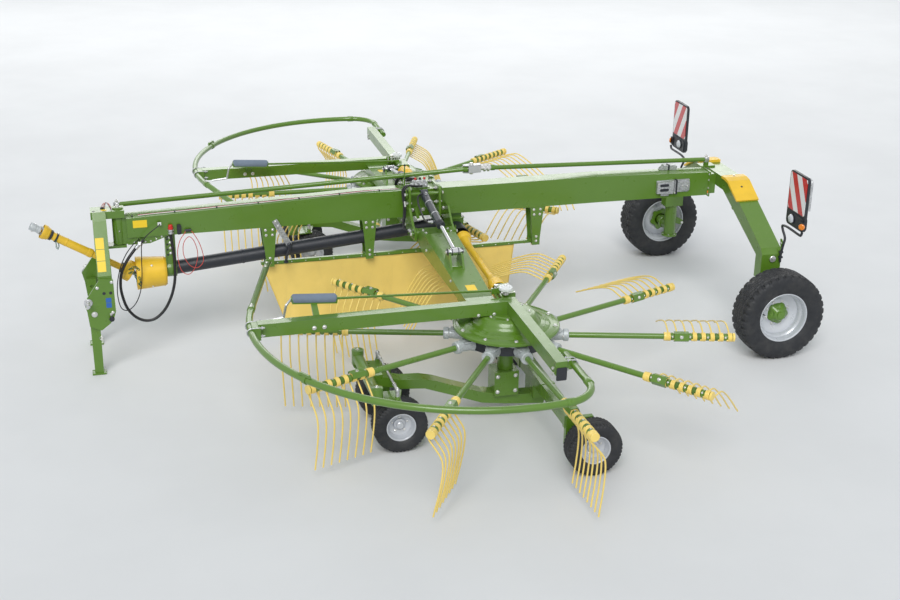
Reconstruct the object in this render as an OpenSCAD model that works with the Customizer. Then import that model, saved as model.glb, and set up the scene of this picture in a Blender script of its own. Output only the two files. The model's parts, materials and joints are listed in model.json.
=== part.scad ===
// Towed twin rotor hay rake with centre delivery, in millimetres.
// X points forward, Y to the machine's left and Z up; the ground is Z = 0.
// The modules are drawn with X = 0 at the rotor axes and Y = 0 on the centre line.

/* [Main beam] */
// Width of the main beam
beam_w = 160; // [140:1:180]
// Height of the main beam at its middle
beam_h = 236; // [200:1:260]
// Height of the beam's underside above the ground
beam_z = 1064; // [1040:1:1090]
// Front end of the beam
beam_front_x = 2655; // [2560:1:2665]
// Height of the beam at its front end
beam_front_h = 165; // [140:1:200]
// Rear end of the beam
beam_rear_x = -2440; // [-2500:1:-2400]
// Wall of the folded plates and brackets
plate_t = 12; // [8:1:16]

/* [Rotors] */
// Distance of a rotor axis from the centre line
rotor_y = 1854; // [1840:1:1900]
// Height of the tine arms
arm_z = 706; // [690:1:730]
// Number of tine arms on a rotor
arm_count = 10; // [8:1:12]
// Radius over the arm ends
arm_tip_r = 1717; // [1700:1:1720]
// Outer radius of an arm's tube
arm_r = 22; // [18:1:26]
// Where a socket of the hub ends
socket_end_r = 470; // [440:1:520]
// Angle of the first arm on the left rotor
left_phase = 20.2; // [0:0.1:36]
// Angle of the first arm on the right rotor
right_phase = 2.7; // [0:0.1:36]

/* [Tines] */
// Tines on an arm
tine_count = 8; // [4:1:8]
// Radius of the innermost tine
tine_first_r = 1214; // [1200:1:1216]
// Distance from one tine to the next
tine_pitch = 66; // [50:1:68]
// Radius of the tine wire
tine_wire_r = 5; // [4:0.5:6]
// Length of a tine from its coil to its tip
tine_drop = 631; // [560:1:640]
// Outer radius of a tine's coil
coil_r = 33; // [30:1:38]
// Length of a coil along the arm
coil_w = 40; // [30:1:48]
// Angle by which the trailing arms are rolled back
roll_max = 76; // [40:1:80]

/* [Rear wheels] */
// Radius of a rear tyre
rear_tyre_r = 376; // [350:1:390]
// Width of a rear tyre
rear_tyre_w = 260; // [220:1:280]
// Radius of a rear rim's flange
rear_rim_r = 210; // [190:1:225]
// Place of the rear axle along the machine
rear_axle_x = -2593; // [-2650:1:-2560]
// Half the rear track
rear_track = 1268; // [1240:1:1300]
// Distance of a rear steering pivot inside the middle of its wheel
kingpin_in = 258; // [245:1:270]

/* [Rotor wheels] */
// Radius of a rotor chassis tyre
small_tyre_r = 203; // [190:1:208]
// Width of a rotor chassis tyre
small_tyre_w = 165; // [150:1:175]
// Radius of a small rim's flange
small_rim_r = 105; // [95:1:115]
// Place of the front pair of wheels
front_wheel_x = 889; // [870:1:895]
// Distance of a front wheel from its rotor axis
front_wheel_y = 283; // [270:1:290]
// Distance by which the front wheels trail their pivots
caster_trail = 179; // [170:1:190]
// Distance of a front pivot from the rotor axis
caster_y = 335; // [325:1:345]
// Place of the rear pair of wheels
rear_wheel_x = -366; // [-375:1:-340]
// Distance of a rear wheel from its rotor axis
rear_wheel_y = 948; // [900:1:950]

/* [Lifting arms] */
// Distance of the lift pivot from the centre line
boom_pivot_y = 340; // [330:1:350]
// Height of the lift pivot
boom_pivot_z = 1000; // [990:1:1010]
// Width of a lifting arm at the rotor
boom_w = 220; // [200:1:240]
// Width of a lifting arm at its pivot
boom_root_w = 280; // [250:1:285]
// Middle of a lifting arm along the machine
boom_x = 170; // [165:1:175]
// Distance of the cylinder's top pin from the centre line
ram_top_y = 140; // [138:1:150]
// Height of the cylinder's top pin
ram_top_z = 1280; // [1270:1:1290]
// Distance of the cylinder's lower pin from the centre line
ram_low_y = 1130; // [1100:1:1160]
// Height of the cylinder's lower pin
ram_low_z = 1120; // [1110:1:1130]
// Outer radius of the cylinder's barrel
ram_r = 34; // [30:1:36]
// Radius of the cylinder's rod
ram_rod_r = 17; // [14:1:20]
// Length of the cylinder's barrel from its top pin
ram_barrel = 575; // [560:1:580]

/* [Drive] */
// Height of the drive shafts at the rotors
drive_z = 945; // [940:1:950]
// Place of the side drive shafts along the machine
drive_x = -90; // [-100:1:-80]
// Radius of the side drive shafts' tube
side_tube_r = 29; // [24:1:32]
// Height of the yellow joint guard's middle
pto_z = 726; // [715:1:735]
// Radius of the driveline's cover tube
cover_r = 57; // [50:1:60]

/* [Guards] */
// Height of the guard rails
guard_z = 960; // [950:1:975]
// Radius of a guard rail's curve
guard_r = 1585; // [1560:1:1600]
// Radius of the guard rail's tube
rail_r = 25; // [20:1:28]
// Width of the beam that carries the guard
bearer_w = 80; // [70:1:90]
// Height of the beam that carries the guard
bearer_h = 100; // [80:1:110]
// Distance of the beam that carries the guard from the centre line
bearer_y = 1890; // [1880:1:1900]

/* [Headstock] */
// Place of the steering pivot along the machine
swivel_x = 2715; // [2705:1:2725]
// Distance of the side plates from the centre line
side_plate_y = 340; // [330:1:350]
// Radius of a lower hitch pin
hitch_pin_r = 14; // [11:0.5:18]
// Length of a lower hitch pin outside its plate
hitch_pin_len = 90; // [70:1:110]
// Bore of the driving shaft's yoke
yoke_bore_r = 17.5; // [15:0.5:20]

/* [Swath curtain] */
// Height of the curtain's top edge
curtain_z = 712; // [700:1:720]
// Thickness of the curtain
curtain_t = 6; // [4:1:10]

/* [Hidden] */
$fn = 48;

// Clearances: between pieces that seat on each other, and round what turns in a bore
seat = 0.3;
run = 0.3;
green = "#4f8f2a";
yellow = "#e8c860";

// Driving shaft's front yoke ends here, the rear tyres end at rear_end_x
yoke_front = [3400, 1203];
rear_end_x = rear_axle_x - rear_tyre_r;
centre_x = (yoke_front.x + rear_end_x) / 2;

beam_top = beam_z + beam_h;
// Where the beam's tail begins to slope, and its drop at the rear end
tail_x = -1400;
beam_tail = 34;
tail_tilt = atan(beam_tail / (tail_x - beam_rear_x));
beam_end_plate = 230;

// Steering pivot: pin, barrel, and the gap to cap and lug
swivel_pin_r = 24;
swivel_r = 52;
fork_drop = 62;
turn_gap = 6;
cap_z = beam_z + beam_front_h + turn_gap;
cap_h = 62;
fork_z = beam_z - fork_drop - turn_gap;

// Headstock: legs, side plates, and stand
leg_x = 2865;
leg_w = 106;
plate_apex = [3040, 640];
stand_pivot = [2969, 534];
stand_pin_r = 14;
stand_y = side_plate_y - 36;

// Middle line of the driveline from its front hanger to the gearbox
hanger_front_x = 2320;
hanger_w = 84;
cover_a = [hanger_front_x + hanger_w / 2 - 6, 744];
cover_b = [55.5, 950];
joint_x = 2610;
pto_joint_z = 722;
joint_ball_r = 34;

// Gearbox, side shields and the joints of the side shafts
gearbox_z = 935;
joint_y = 345;
joint_z = 925;
ball_r = 67;
output_r = 17;
shield_r = 75;
shield_end = joint_y - ball_r - 8;
cup_y = 1560;
cup_r = 62;
cup_len = 110;

// Hangers and rail of the swath curtain
curtain_front_x = 1570;
curtain_rear_x = -650;
curtain_low_z = 150;
hanger_x = [1510, 660, -830];
fork_y = cover_r + 13;
rail_z = curtain_z + seat;
rail_h = 26;

// Plates that carry the lifting arms and their cylinders
front_plate_x = 335;
rear_plate_x = 75;
lug_x = 0;
ram_x = 205;
ear_top = ram_top_z + 65;
pivot_pin_r = 20;
ram_top_pin_r = 15;
ram_low_pin_r = 18;
// Middle of an ear at the cylinder's lower pin, from the cylinder's axis
ram_ear = ram_r + 15;

// Rear arch in (y, z): crown, shoulder, knee and foot
arch_x = -2600;
arch_d = 180;
arch_t = 110;
arch_top = 1255;
kingpin_y = rear_track - kingpin_in;
knee_y = kingpin_y - 10;
knee_z = 815;
shoulder = [290, arch_top];
shoulder_low = [350, arch_top - 10];
knee_top = [knee_y + 20, knee_z + 60];
knuckle_top = 600;
kingpin_r = 30;
axle_r = 30;
hub_face_y = rear_track - 8;

// Warning boards
board_x = -2717;
board_in = knee_y + 32;
board_w = 301;
board_out = board_in + board_w;
board_top = 1566;
board_low = 1100;

// Hose, cable and rope: radius, and the points that each passes
hose_r = 12;
cable_r = 4;
rope_r = 3;
hose_route = [[2590, 100, 988], [2612, 104, 966], [2674, 122, 890], [2725, 126, 790], [2742, 126, 690],
    [2736, 126, 595], [2704, 120, 475], [2640, 112, 385], [2560, 106, 342], [2478, 102, 354],
    [2398, 100, 428], [2338, 100, 545], [2305, 100, 675], [2298, 100, 805], [2300, 100, 915],
    [2308, 100, 1000], [2312, 100, 1050], [2312, 100, 1084]];
cable_route = [[2398, 106, 1175], [2398, 124, 1175], [2410, 144, 1170], [2430, 152, 1158], [2470, 154, 1130],
    [2520, 152, 1085], [2550, 152, 1034], [2560, 152, 920], [2568, 152, 758], [2590, 152, 619],
    [2636, 150, 517], [2700, 150, 466], [2752, 152, 494], [2772, 152, 600], [2764, 152, 720],
    [2730, 150, 850], [2680, 144, 950], [2636, 134, 1005], [2600, 124, 1040], [2578, 114, 1052],
    [2570, 98, 1056], [2570, 82, 1056]];
rope_route = [[2190, 82, 1100], [2190, 96, 1100], [2204, 112, 1080], [2245, 118, 1020], [2270, 118, 910],
    [2250, 118, 770], [2192, 118, 724], [2138, 118, 775], [2108, 118, 890], [2128, 118, 1000],
    [2170, 118, 1050], [2216, 124, 1000], [2222, 130, 900], [2180, 130, 810], [2120, 130, 780],
    [2072, 130, 820], [2066, 130, 890], [2090, 124, 990], [2130, 112, 1070], [2152, 98, 1096],
    [2152, 82, 1096]];

// Guard rail: middle of the outer arc, its first angle, the small arc, and the straights
guard_mid = [330, 1960];
guard_a0 = -15.5;
guard_small_r = 250;
guard_end_x = -114;
guard_tail = 978;

// Crank rod of the height adjustment in (x, z), from the rotor's middle to the crank's grip
crank_y = 1720;
crank_r = 9;
crank_sleeve_r = 23;
crank = [[-20, 1000 + crank_r + seat], [60, 1000 + crank_r + seat], [1255, 1062], [1590, 1087], [1628, 1042],
    [1650, 948], [1790, 935]];

// Lifting arm in side view
boom_end_y = 1700;
boom_end_z = 955;
boom_end_h = 70;
boom_tube_r = 45;
seat_x0 = boom_x + 5 - boom_w / 2;
seat_x1 = boom_x + 5 + boom_w / 2;

// Rotor's middle: hub, post, and the fixed housing above it
hub_top = arm_z + 68;
hub_low = arm_z - 56;
hub_r = 320;
socket_r = 38;
root_r = 64;
arm_root_r = hub_r + 20;
post_r = 60;
post_low = 250;
dome_top = guard_z - 10 - bearer_h / 2 - seat;
cover_rim_r = 400;
wheel_r = 50;

// Tine's middle line in the plane across its arm: along the ground, and height
tine_path = [[0, -coil_r - seat], [0, -coil_r - 12], [30, -90], [73, -182], [46, -475], [14, -tine_drop]];

// Steering rod and tie rods
rod_r = 20;
lever_arm = 150;
tie_x = front_wheel_x + 26;
tie_z = 500;
kingpin_x = front_wheel_x + caster_trail;
caster_plate_z = 420;

// Moves the drawn machine so that its box stands centred on the origin
module place() translate([-centre_x, 0, 0]) children();

// The left side as drawn, the right side mirrored
module on_side(s) {
    if (s > 0) children();
    else mirror([0, 1, 0]) children();
}

// Flat outlines in (x, z), (y, z) and (x, y), given a thickness about a middle plane
module slab_y(y, t) translate([0, y + t / 2, 0]) rotate([90, 0, 0]) linear_extrude(t) children();
module slab_x(x, t) translate([x - t / 2, 0, 0]) rotate([90, 0, 90]) linear_extrude(t) children();
module slab_z(z, t) translate([0, 0, z - t / 2]) linear_extrude(t) children();

// Round bar from a to b
module bar(a, b, r) along(a, b) cylinder(r = r, h = norm(b - a));

// Children drawn along Z, placed at a and turned towards b
module along(a, b) {
    d = b - a;
    translate(a) rotate([0, acos(d.z / norm(d)), atan2(d.y, d.x)]) children();
}

// Cylinders along X and Y, about a middle
module pin_x(p, r, len) translate(p) rotate([0, 90, 0]) cylinder(r = r, h = len, center = true);
module pin_y(p, r, len) translate(p) rotate([90, 0, 0]) cylinder(r = r, h = len, center = true);
module block(a, b) translate(a) cube(b - a);

function unit(v) = v / norm(v);
function step01(x) = x < 0 ? 0 : x > 1 ? 1 : x * x * (3 - 2 * x);

// Tube swept along a list of points; ref is a direction that the path never takes
module sweep(path, r, sides, ref) {
    n = len(path);
    t = [for (i = [0:n - 1]) unit(path[min(i + 1, n - 1)] - path[max(i - 1, 0)])];
    rings = [for (i = [0:n - 1]) let (u = unit(cross(ref, t[i])), v = cross(t[i], u))
        for (k = [0:sides - 1]) path[i] + r * (cos(360 * k / sides) * u + sin(360 * k / sides) * v)];
    polyhedron(
        points = rings,
        faces = concat(
            [[for (k = [sides - 1:-1:0]) k]],
            [[for (k = [0:sides - 1]) (n - 1) * sides + k]],
            [for (i = [0:n - 2]) for (k = [0:sides - 1]) let (m = (k + 1) % sides)
                [i * sides + k, i * sides + m, (i + 1) * sides + m, (i + 1) * sides + k]]));
}

// Tyre about its own axis, drawn along Y: tread, shoulders and side walls down to the rim
module tyre_shape(r, w, rim) {
    h = r - rim;
    rotate([90, 0, 0]) rotate_extrude() polygon([
        [rim, -w * 0.36], [rim + h * 0.12, -w * 0.44], [rim + h * 0.5, -w / 2], [r - h * 0.16, -w * 0.47],
        [r - h * 0.04, -w * 0.4], [r, -w * 0.22], [r, w * 0.22], [r - h * 0.04, w * 0.4],
        [r - h * 0.16, w * 0.47], [rim + h * 0.5, w / 2], [rim + h * 0.12, w * 0.44], [rim, w * 0.36]]);
}

// Dished rim about its own axis: flanges, drop centre and the disc that bolts to the hub
module rim_shape(r, w, disc_y, hub_r, bore_r) {
    t = 8;
    rotate([90, 0, 0]) rotate_extrude() polygon([
        [r + 6, -w * 0.41], [r + 6, -w * 0.385], [r - seat, -w * 0.36], [r - seat, w * 0.36],
        [r + 6, w * 0.385], [r + 6, w * 0.41], [r - t, w * 0.39], [r - t, w * 0.3],
        [r * 0.84, w * 0.2], [r * 0.84, disc_y + t], [hub_r, disc_y + t], [hub_r, disc_y + 3 * t],
        [bore_r, disc_y + 3 * t], [bore_r, disc_y - t], [hub_r, disc_y - t], [r * 0.8, disc_y - t],
        [r * 0.8, -w * 0.2], [r - t, -w * 0.3], [r - t, -w * 0.39]]);
}

// MAIN FRAME

module main_beam() color(green) {
    slab_y(0, beam_w) polygon([
        [beam_front_x, beam_z], [beam_front_x, beam_z + beam_front_h], [700, beam_top],
        [tail_x, beam_top], [beam_rear_x, tail_z(beam_rear_x)], [beam_rear_x, beam_z - 8],
        [tail_x, beam_z], [0, beam_z]]);
    // Tapered gusset and barrel of the steering pivot
    difference() {
        union() {
            slab_y(0, beam_w - 2 * plate_t) polygon([[beam_front_x, beam_z + 1], [2300, beam_z + 1],
                [2480, beam_z - fork_drop], [beam_front_x, beam_z - fork_drop]]);
            translate([swivel_x, 0, beam_z - fork_drop])
                cylinder(r = swivel_r, h = beam_front_h + fork_drop);
            block([beam_front_x - 10, -45, beam_z - fork_drop], [swivel_x, 45, beam_z + beam_front_h]);
        }
        translate([swivel_x, 0, beam_z - fork_drop - 10])
            cylinder(r = swivel_pin_r + run, h = beam_front_h + fork_drop + 20);
    }
    driveline_hanger();
    for (x = hanger_x) curtain_hanger(x);
    // End plate that the rear arch bolts to
    slab_x(beam_rear_x - plate_t / 2, plate_t) translate([0, beam_z + 95])
        square([beam_w + 24, beam_end_plate], center = true);
    fittings();
}

// Height of the beam's top on its sloping tail
function tail_z(x) = beam_top - beam_tail * (tail_x - x) / (tail_x - beam_rear_x);

// Where hose, cable and rope leave the beam
module fittings() {
    start = hose_route[0];
    back = unit(start - hose_route[1]);
    bar(start, start + back * 70, hose_r + 2);
    translate(start + back * 70) sphere(r = hose_r + 2);
    block([2525, beam_w / 2 - 30, 1020], [2560, start.y + 4, 1052]);
    end = hose_route[len(hose_route) - 1];
    translate(end) cylinder(r = hose_r + 4, h = 66);
    block([end.x - 20, beam_w / 2 - 1, 1110], [end.x + 20, end.y, 1140]);
    for (route = [cable_route, rope_route]) for (p = [route[0], route[len(route) - 1]])
        translate(p) rotate([90, 0, 0]) cylinder(r = 11, h = p.y - beam_w / 2 + 14);
}

module driveline_hanger() {
    x = hanger_front_x;
    z = cover_z(x);
    difference() {
        union() {
            slab_x(x, hanger_w) translate([0, (z + beam_z) / 2])
                square([cover_r * 1.6, beam_z - z + 2], center = true);
            translate([x, 0, z]) rotate([0, 90, 0]) cylinder(r = cover_r + 12, h = hanger_w, center = true);
        }
        bar([x - 100, 0, cover_z(x - 100)], [x + 100, 0, cover_z(x + 100)], cover_r + seat);
    }
}

// Height of the driveline's axis where it passes x
function cover_z(x) = cover_a.y + (cover_b.y - cover_a.y) * (cover_a.x - x) / (cover_a.x - cover_b.x);

// Fork that straddles the driveline and holds the curtain's rail
module curtain_hanger(x) {
    for (s = [-1, 1]) slab_y(s * fork_y, plate_t) polygon([
        [x - 62, beam_z], [x + 62, beam_z], [x + 34, rail_z + 60], [x + 34, rail_z], [x - 34, rail_z],
        [x - 34, rail_z + 60]]);
    translate([x, 0, beam_z - 5 + 0.5]) cube([130, 2 * fork_y + plate_t, 11], center = true);
}

module centre_frame() color(green) {
    wings = [[80, beam_z - 100], [160, beam_z - 130], [390, boom_pivot_z - 45], [392, boom_pivot_z + 30],
        [300, boom_pivot_z + 60], [185, beam_z + 110], [80, beam_z + 110]];
    ears = [[80, beam_z + 20], [185, beam_z + 20], [185, ear_top - 20], [165, ear_top], [118, ear_top],
        [105, ear_top - 15], [105, beam_top + 30], [80, beam_top + 30]];
    difference() {
        union() {
            for (s = [-1, 1]) on_side(s) {
                slab_x(front_plate_x, 20) polygon(wings);
                slab_x(front_plate_x, 20) polygon(ears);
                slab_x(rear_plate_x, 20) polygon(ears);
                slab_x(lug_x, 16) polygon(wings);
                // Box plate along the beam that joins them
                block([lug_x - 8, beam_w / 2 + 4, beam_z + 20],
                    [front_plate_x + 10, beam_w / 2 + 20, beam_z + 90]);
                pin_x([(front_plate_x + rear_plate_x) / 2, ram_top_y, ram_top_z], ram_top_pin_r,
                    front_plate_x - rear_plate_x + 44);
                pin_x([(front_plate_x + lug_x) / 2, boom_pivot_y, boom_pivot_z], pivot_pin_r,
                    front_plate_x - lug_x + 40);
            }
            // Bridges over and under the beam
            for (x = [front_plate_x, rear_plate_x]) slab_x(x, 20) translate([0, beam_top + 15])
                square([180, 30], center = true);
            for (x = [front_plate_x, lug_x]) slab_x(x, x == lug_x ? 16 : 20)
                translate([0, beam_z - 45]) square([170, 90], center = true);
        }
        slab_x(boom_x, 600) translate([0, beam_z + beam_h / 2])
            square([beam_w + 2 * seat, beam_h + 2 * seat], center = true);
        bar([500, 0, cover_z(500)], [20, 0, cover_z(20)], cover_r + 6);
        translate([-100, 0, gearbox_z]) rotate([0, 90, 0]) cylinder(r = 92, h = 120);
    }
}

module gearbox() color("#3f7f2a") {
    translate([drive_x, 0, gearbox_z]) {
        translate([0, 0, 4]) cube([150, 150, 150], center = true);
        pin_x([100, 0, 4], 62, 80);
        for (s = [-1, 1]) {
            pin_y([0, s * 88, joint_z - gearbox_z], 60, 28);
            // Output shaft, as far as the joint of the side shaft
            bar([0, s * 100, joint_z - gearbox_z],
                [0, s * (joint_y - ball_r - seat), joint_z - gearbox_z], output_r);
        }
        block([-60, -50, 70], [60, 50, beam_z - gearbox_z]);
    }
}

module drive_covers() color("#202226") {
    a = [cover_a.x, 0, cover_a.y];
    b = [cover_b.x, 0, cover_b.y];
    d = unit(b - a);
    difference() {
        bar(a, b, cover_r);
        bar(a - d * 5, a + d * 60, cover_r - 5);
    }
    // Shaft stub in front, up to the joint of the driving shaft
    bar(a + d * 70, [joint_x - joint_ball_r - seat, 0, pto_joint_z], 18);
    for (s = [-1, 1]) difference() {
        bar([drive_x, s * (102 + seat), joint_z], [drive_x, s * shield_end, joint_z], shield_r);
        bar([drive_x, s * 130, joint_z], [drive_x, s * (shield_end + 10), joint_z], shield_r - 5);
        bar([drive_x, s * 95, joint_z], [drive_x, s * 140, joint_z], output_r + seat);
    }
}

module yellow_guards() color("#e0b020") {
    // Guard round the joint of the driving shaft, open to the front
    x = hanger_front_x + hanger_w / 2 + seat;
    translate([x, 0, pto_z]) rotate([0, 90, 0]) rotate_extrude() polygon([
        [44, 0], [112, 0], [120, 12], [136, 225], [136, 240], [130, 240], [130, 225], [114, 17], [108, 6],
        [44, 6]]);
    for (s = [-1, 1]) on_side(s) arch_cover();
}

module rear_arch() color(green) {
    difference() {
        union() {
            for (s = [-1, 1]) on_side(s) slab_x(arch_x, arch_d) polygon([
                [0, arch_top - arch_t], [shoulder.x - 60, arch_top - arch_t], [knee_y - 60, knee_z - 20],
                [knee_y - 60, knuckle_top + seat], [knee_y + arch_t - 60, knuckle_top + seat],
                [knee_y + arch_t - 60, knee_z + 10], knee_top, shoulder_low, shoulder, [0, arch_top]]);
            block([arch_x + arch_d / 2 - 1, -70, arch_top - 190],
                [beam_rear_x - plate_t, 70, arch_top - 10]);
        }
        for (s = [-1, 1]) translate([arch_x, s * kingpin_y, knuckle_top - 20])
            cylinder(r = kingpin_r + run, h = 120);
    }
    for (s = [-1, 1]) pin_y([arch_x - 10, s * (knee_y + arch_t - 54), knee_z - 30], 26, 14);
    // Slide rail of the steering rod on the crown
    block([arch_x + 20, -lever_arm - 50, arch_top - 1], [arch_x + 160, -lever_arm + 50, arch_top + 14]);
}

// Point on the arch's sloping top at y, raised by h
function slope_z(y, h) = h + shoulder_low.y
    + (knee_top.y - shoulder_low.y) * (y - shoulder_low.x) / (knee_top.x - shoulder_low.x);

module arch_cover() {
    y0 = 230;
    y1 = 550;
    t = 14;
    slab_x(arch_x + 10, arch_d + 30) polygon([[y0, arch_top + seat], [shoulder.x, arch_top + seat],
        [shoulder_low.x, shoulder_low.y + 2 * seat], [y1, slope_z(y1, 2 * seat)], [y1 + 8, slope_z(y1, t)],
        [shoulder_low.x + 8, shoulder_low.y + t + 8], [shoulder.x + 6, arch_top + t + 10],
        [y0, arch_top + t + 10]]);
}

module wheel_chocks() color("#a9abae") {
    // One in its holder on the left face, one on top
    slab_y(beam_w / 2 + 20 + seat, 40) polygon([[-2250, beam_z + 40], [-1930, beam_z + 40],
        [-1930, beam_z + 150], [-2080, beam_z + 165], [-2250, beam_z + 150]]);
    translate([-2090, -50, tail_z(-2090) + seat]) rotate([0, -tail_tilt, 0])
        block([-80, -25, 0], [80, 25, 44]);
}

module curtain_frame() color(green) {
    block([hanger_x[2] - 34, -15, rail_z], [curtain_front_x + 10, 15, rail_z + rail_h]);
    half = fork_y - plate_t / 2 - seat;
    for (x = hanger_x) block([x - 30, -half, rail_z], [x + 30, half, rail_z + rail_h]);
}

module curtain() color(yellow) {
    slab_y(0, curtain_t) polygon([[curtain_front_x, curtain_z], [curtain_front_x - 190, curtain_low_z],
        [curtain_rear_x + 60, curtain_low_z], [curtain_rear_x, curtain_z]]);
}

module warning_boards() color("#d04030") {
    for (s = [-1, 1]) on_side(s) {
        slab_x(board_x, 24) polygon([[board_in, board_low + 30], [board_in + 30, board_low],
            [board_out - 30, board_low], [board_out, board_low + 30], [board_out, board_top - 30],
            [board_out - 30, board_top], [board_in + 30, board_top], [board_in, board_top - 30]]);
        p = [board_x + 20, board_in + 160, board_low + 40];
        q = [board_x + 20, board_in - 30, board_low - 30];
        r = [arch_x - arch_d / 2 + 20, knee_y + arch_t - 60 + 13 + seat, knee_z];
        elbow = [board_x + 15, r.y, knee_z + 150];
        bar(p, q, 10);
        bar(q, elbow, 10);
        bar(elbow, r, 10);
        bar(r, r - [0, 0, 60], 10);
        for (v = [q, elbow, r]) translate(v) sphere(r = 13);
    }
}

// CORDS

module hydraulic_hose() color("#202226") sweep(hose_route, hose_r, 8, [0, 1, 0.1]);
module cable() color("#202226") sweep(cable_route, cable_r, 8, [0.1, 1, 0]);
module red_rope() color("#c03028") sweep(rope_route, rope_r, 8, [0, 1, 0.1]);

// HEADSTOCK

module headstock() color(green) {
    // Cap, lower lug and the steering pin between them
    block([swivel_x - 50, -70, cap_z], [leg_x + 65, 70, cap_z + cap_h]);
    block([swivel_x - 50, -50, fork_z - 22], [leg_x + 20, 50, fork_z]);
    translate([swivel_x, 0, fork_z - 10]) cylinder(r = swivel_pin_r, h = cap_z - fork_z + 20);
    // Lever of the steering rod
    slab_z(cap_z + 10, 20) polygon([[swivel_x - 30, -60], [swivel_x + 30, -60],
        [swivel_x + 26, -lever_arm - 28], [swivel_x - 26, -lever_arm - 28]]);
    for (s = [-1, 1]) on_side(s) {
        // Leg from the cap to the side plate
        slab_x(leg_x, leg_w) polygon([[0, cap_z + cap_h], [70, cap_z + cap_h], [110, cap_z],
            [side_plate_y - 8, 850], [side_plate_y - 8, 700], [side_plate_y - 50, 700],
            [side_plate_y - 50, 850], [56, cap_z - 20], [56, fork_z - 22], [0, fork_z - 22]]);
        slab_y(side_plate_y, 16) polygon([plate_apex, [2905, 832], [2802, 822], [2799, 547],
            [2820, 480], [2850, 445], [2921, 391], [3010, 430], [3022, 560]]);
        pin_y([plate_apex.x - 32, side_plate_y + 8 + hitch_pin_len / 2 - 2, plate_apex.y], hitch_pin_r,
            hitch_pin_len + 4);
        pin_y([stand_pivot.x, side_plate_y - 26, stand_pivot.y], stand_pin_r, 44);
    }
    // Cross tube between the side plates
    pin_y([2875, 0, 785], 30, 2 * side_plate_y - 60);
}

module pto_shaft() color("#e0b020") {
    a = [yoke_front.x, 0, yoke_front.y];
    b = [joint_x, 0, pto_joint_z];
    d = unit(b - a);
    len = norm(b - a);
    translate(b) sphere(r = joint_ball_r);
    difference() {
        union() {
            bar(a + d * 110, b, 30);
            bar(a + d * 100, a + d * 160, 60);
            bar(b - d * 100, b - d * 40, 85);
        }
        bar(a + d * 90, a + d * 140, 54);
        bar(b - d * 90, b + d * 40, 79);
    }
    bar(b - d * 95, b, 30);
    difference() {
        bar(a, a + d * 145, 32);
        bar(a - d * 5, a + d * 80, yoke_bore_r);
    }
}

module stand_leg(s) color(green) on_side(s) {
    difference() {
        union() {
            slab_y(stand_y, 50) polygon([[2930, 600], [3008, 600], [3004, 12], [2934, 12]]);
            block([2915, stand_y - 40, 0], [3025, stand_y + 40, 12.5]);
        }
        pin_y([stand_pivot.x, stand_y, stand_pivot.y], stand_pin_r + run, 60);
    }
}

// STEERING

module steering_rod() color(green) {
    f = [swivel_x, -lever_arm, cap_z + 20 + seat];
    m = [-290, -60, 1410];
    e = [arch_x + 90, -lever_arm, arch_top + 14 + seat];
    translate(f) cylinder(r = 22, h = 44);
    bar(f + [0, 0, 24], m, rod_r);
    bar(m, e + [0, 0, 46], rod_r);
    translate(m) cube([110, 56, 56], center = true);
    translate(e) cylinder(r = 24, h = 66);
}

// REAR RUNNING GEAR

module knuckle(s) color(green) on_side(s) {
    translate([arch_x, kingpin_y, 280]) cylinder(r = 58, h = knuckle_top - 280);
    translate([arch_x, kingpin_y, knuckle_top - 1]) cylinder(r = kingpin_r, h = 90);
    bar([rear_axle_x, kingpin_y, rear_tyre_r], [rear_axle_x, hub_face_y - 30, rear_tyre_r], 48);
    bar([rear_axle_x, hub_face_y - 30, rear_tyre_r], [rear_axle_x, hub_face_y - seat, rear_tyre_r], 88);
    bar([rear_axle_x, hub_face_y - 20, rear_tyre_r], [rear_axle_x, rear_track + 60, rear_tyre_r], axle_r);
}

module rear_rim(s) color("#b9bcc0") on_side(s) translate([rear_axle_x, rear_track, rear_tyre_r])
    mirror([0, 1, 0]) rim_shape(rear_rim_r, rear_tyre_w, 0, 80, axle_r + run);
module rear_tyre(s) color("#26282b") on_side(s) translate([rear_axle_x, rear_track, rear_tyre_r])
    tyre_shape(rear_tyre_r, rear_tyre_w, rear_rim_r);

// LIFTING ARMS

// Plan of the lifting arm up to y, grown on each side
module boom_plan(grow, y) {
    root_y = boom_pivot_y - 60;
    end_w = boom_root_w + (boom_w - boom_root_w) * (y - root_y) / (boom_end_y - root_y);
    polygon([for (q = [[-1, root_y], [1, root_y], [1, y], [-1, y]])
        [boom_x + 5 + q.x * ((q.y == y ? end_w : boom_root_w) / 2 + grow), q.y]]);
}

module boom(s) color(green) on_side(s) {
    tube_a = lug_x + 8 + 3;
    tube_b = front_plate_x - 10 - 3;
    difference() {
        union() {
            // Box arm: its side view, cut to the taper that it has in plan
            intersection() {
                slab_x(boom_x + 5, boom_root_w) polygon([[boom_pivot_y, boom_pivot_z + boom_tube_r],
                    [560, 1072], [1000, 1030], [boom_end_y, boom_end_z], [boom_end_y, boom_end_z - boom_end_h],
                    [900, 890], [480, 900], [boom_pivot_y, boom_pivot_z - boom_tube_r]]);
                slab_z(boom_pivot_z, 500) boom_plan(0, boom_end_y + 1);
            }
            pin_x([(tube_a + tube_b) / 2, boom_pivot_y, boom_pivot_z], boom_tube_r, tube_b - tube_a);
        }
        pin_x([boom_x, boom_pivot_y, boom_pivot_z], pivot_pin_r + run, 900);
    }
    // Ears that carry the cylinder's lower pin, open above it
    for (x = [-1, 1]) difference() {
        slab_x(ram_x + x * ram_ear, 16) polygon([[ram_low_y - 110, 1000], [ram_low_y + 110, 985],
            [ram_low_y + 42, ram_low_z - 8], [ram_low_y - 42, ram_low_z - 8]]);
        pin_x([ram_x, ram_low_y, ram_low_z], ram_low_pin_r + run, 200);
    }
}

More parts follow.
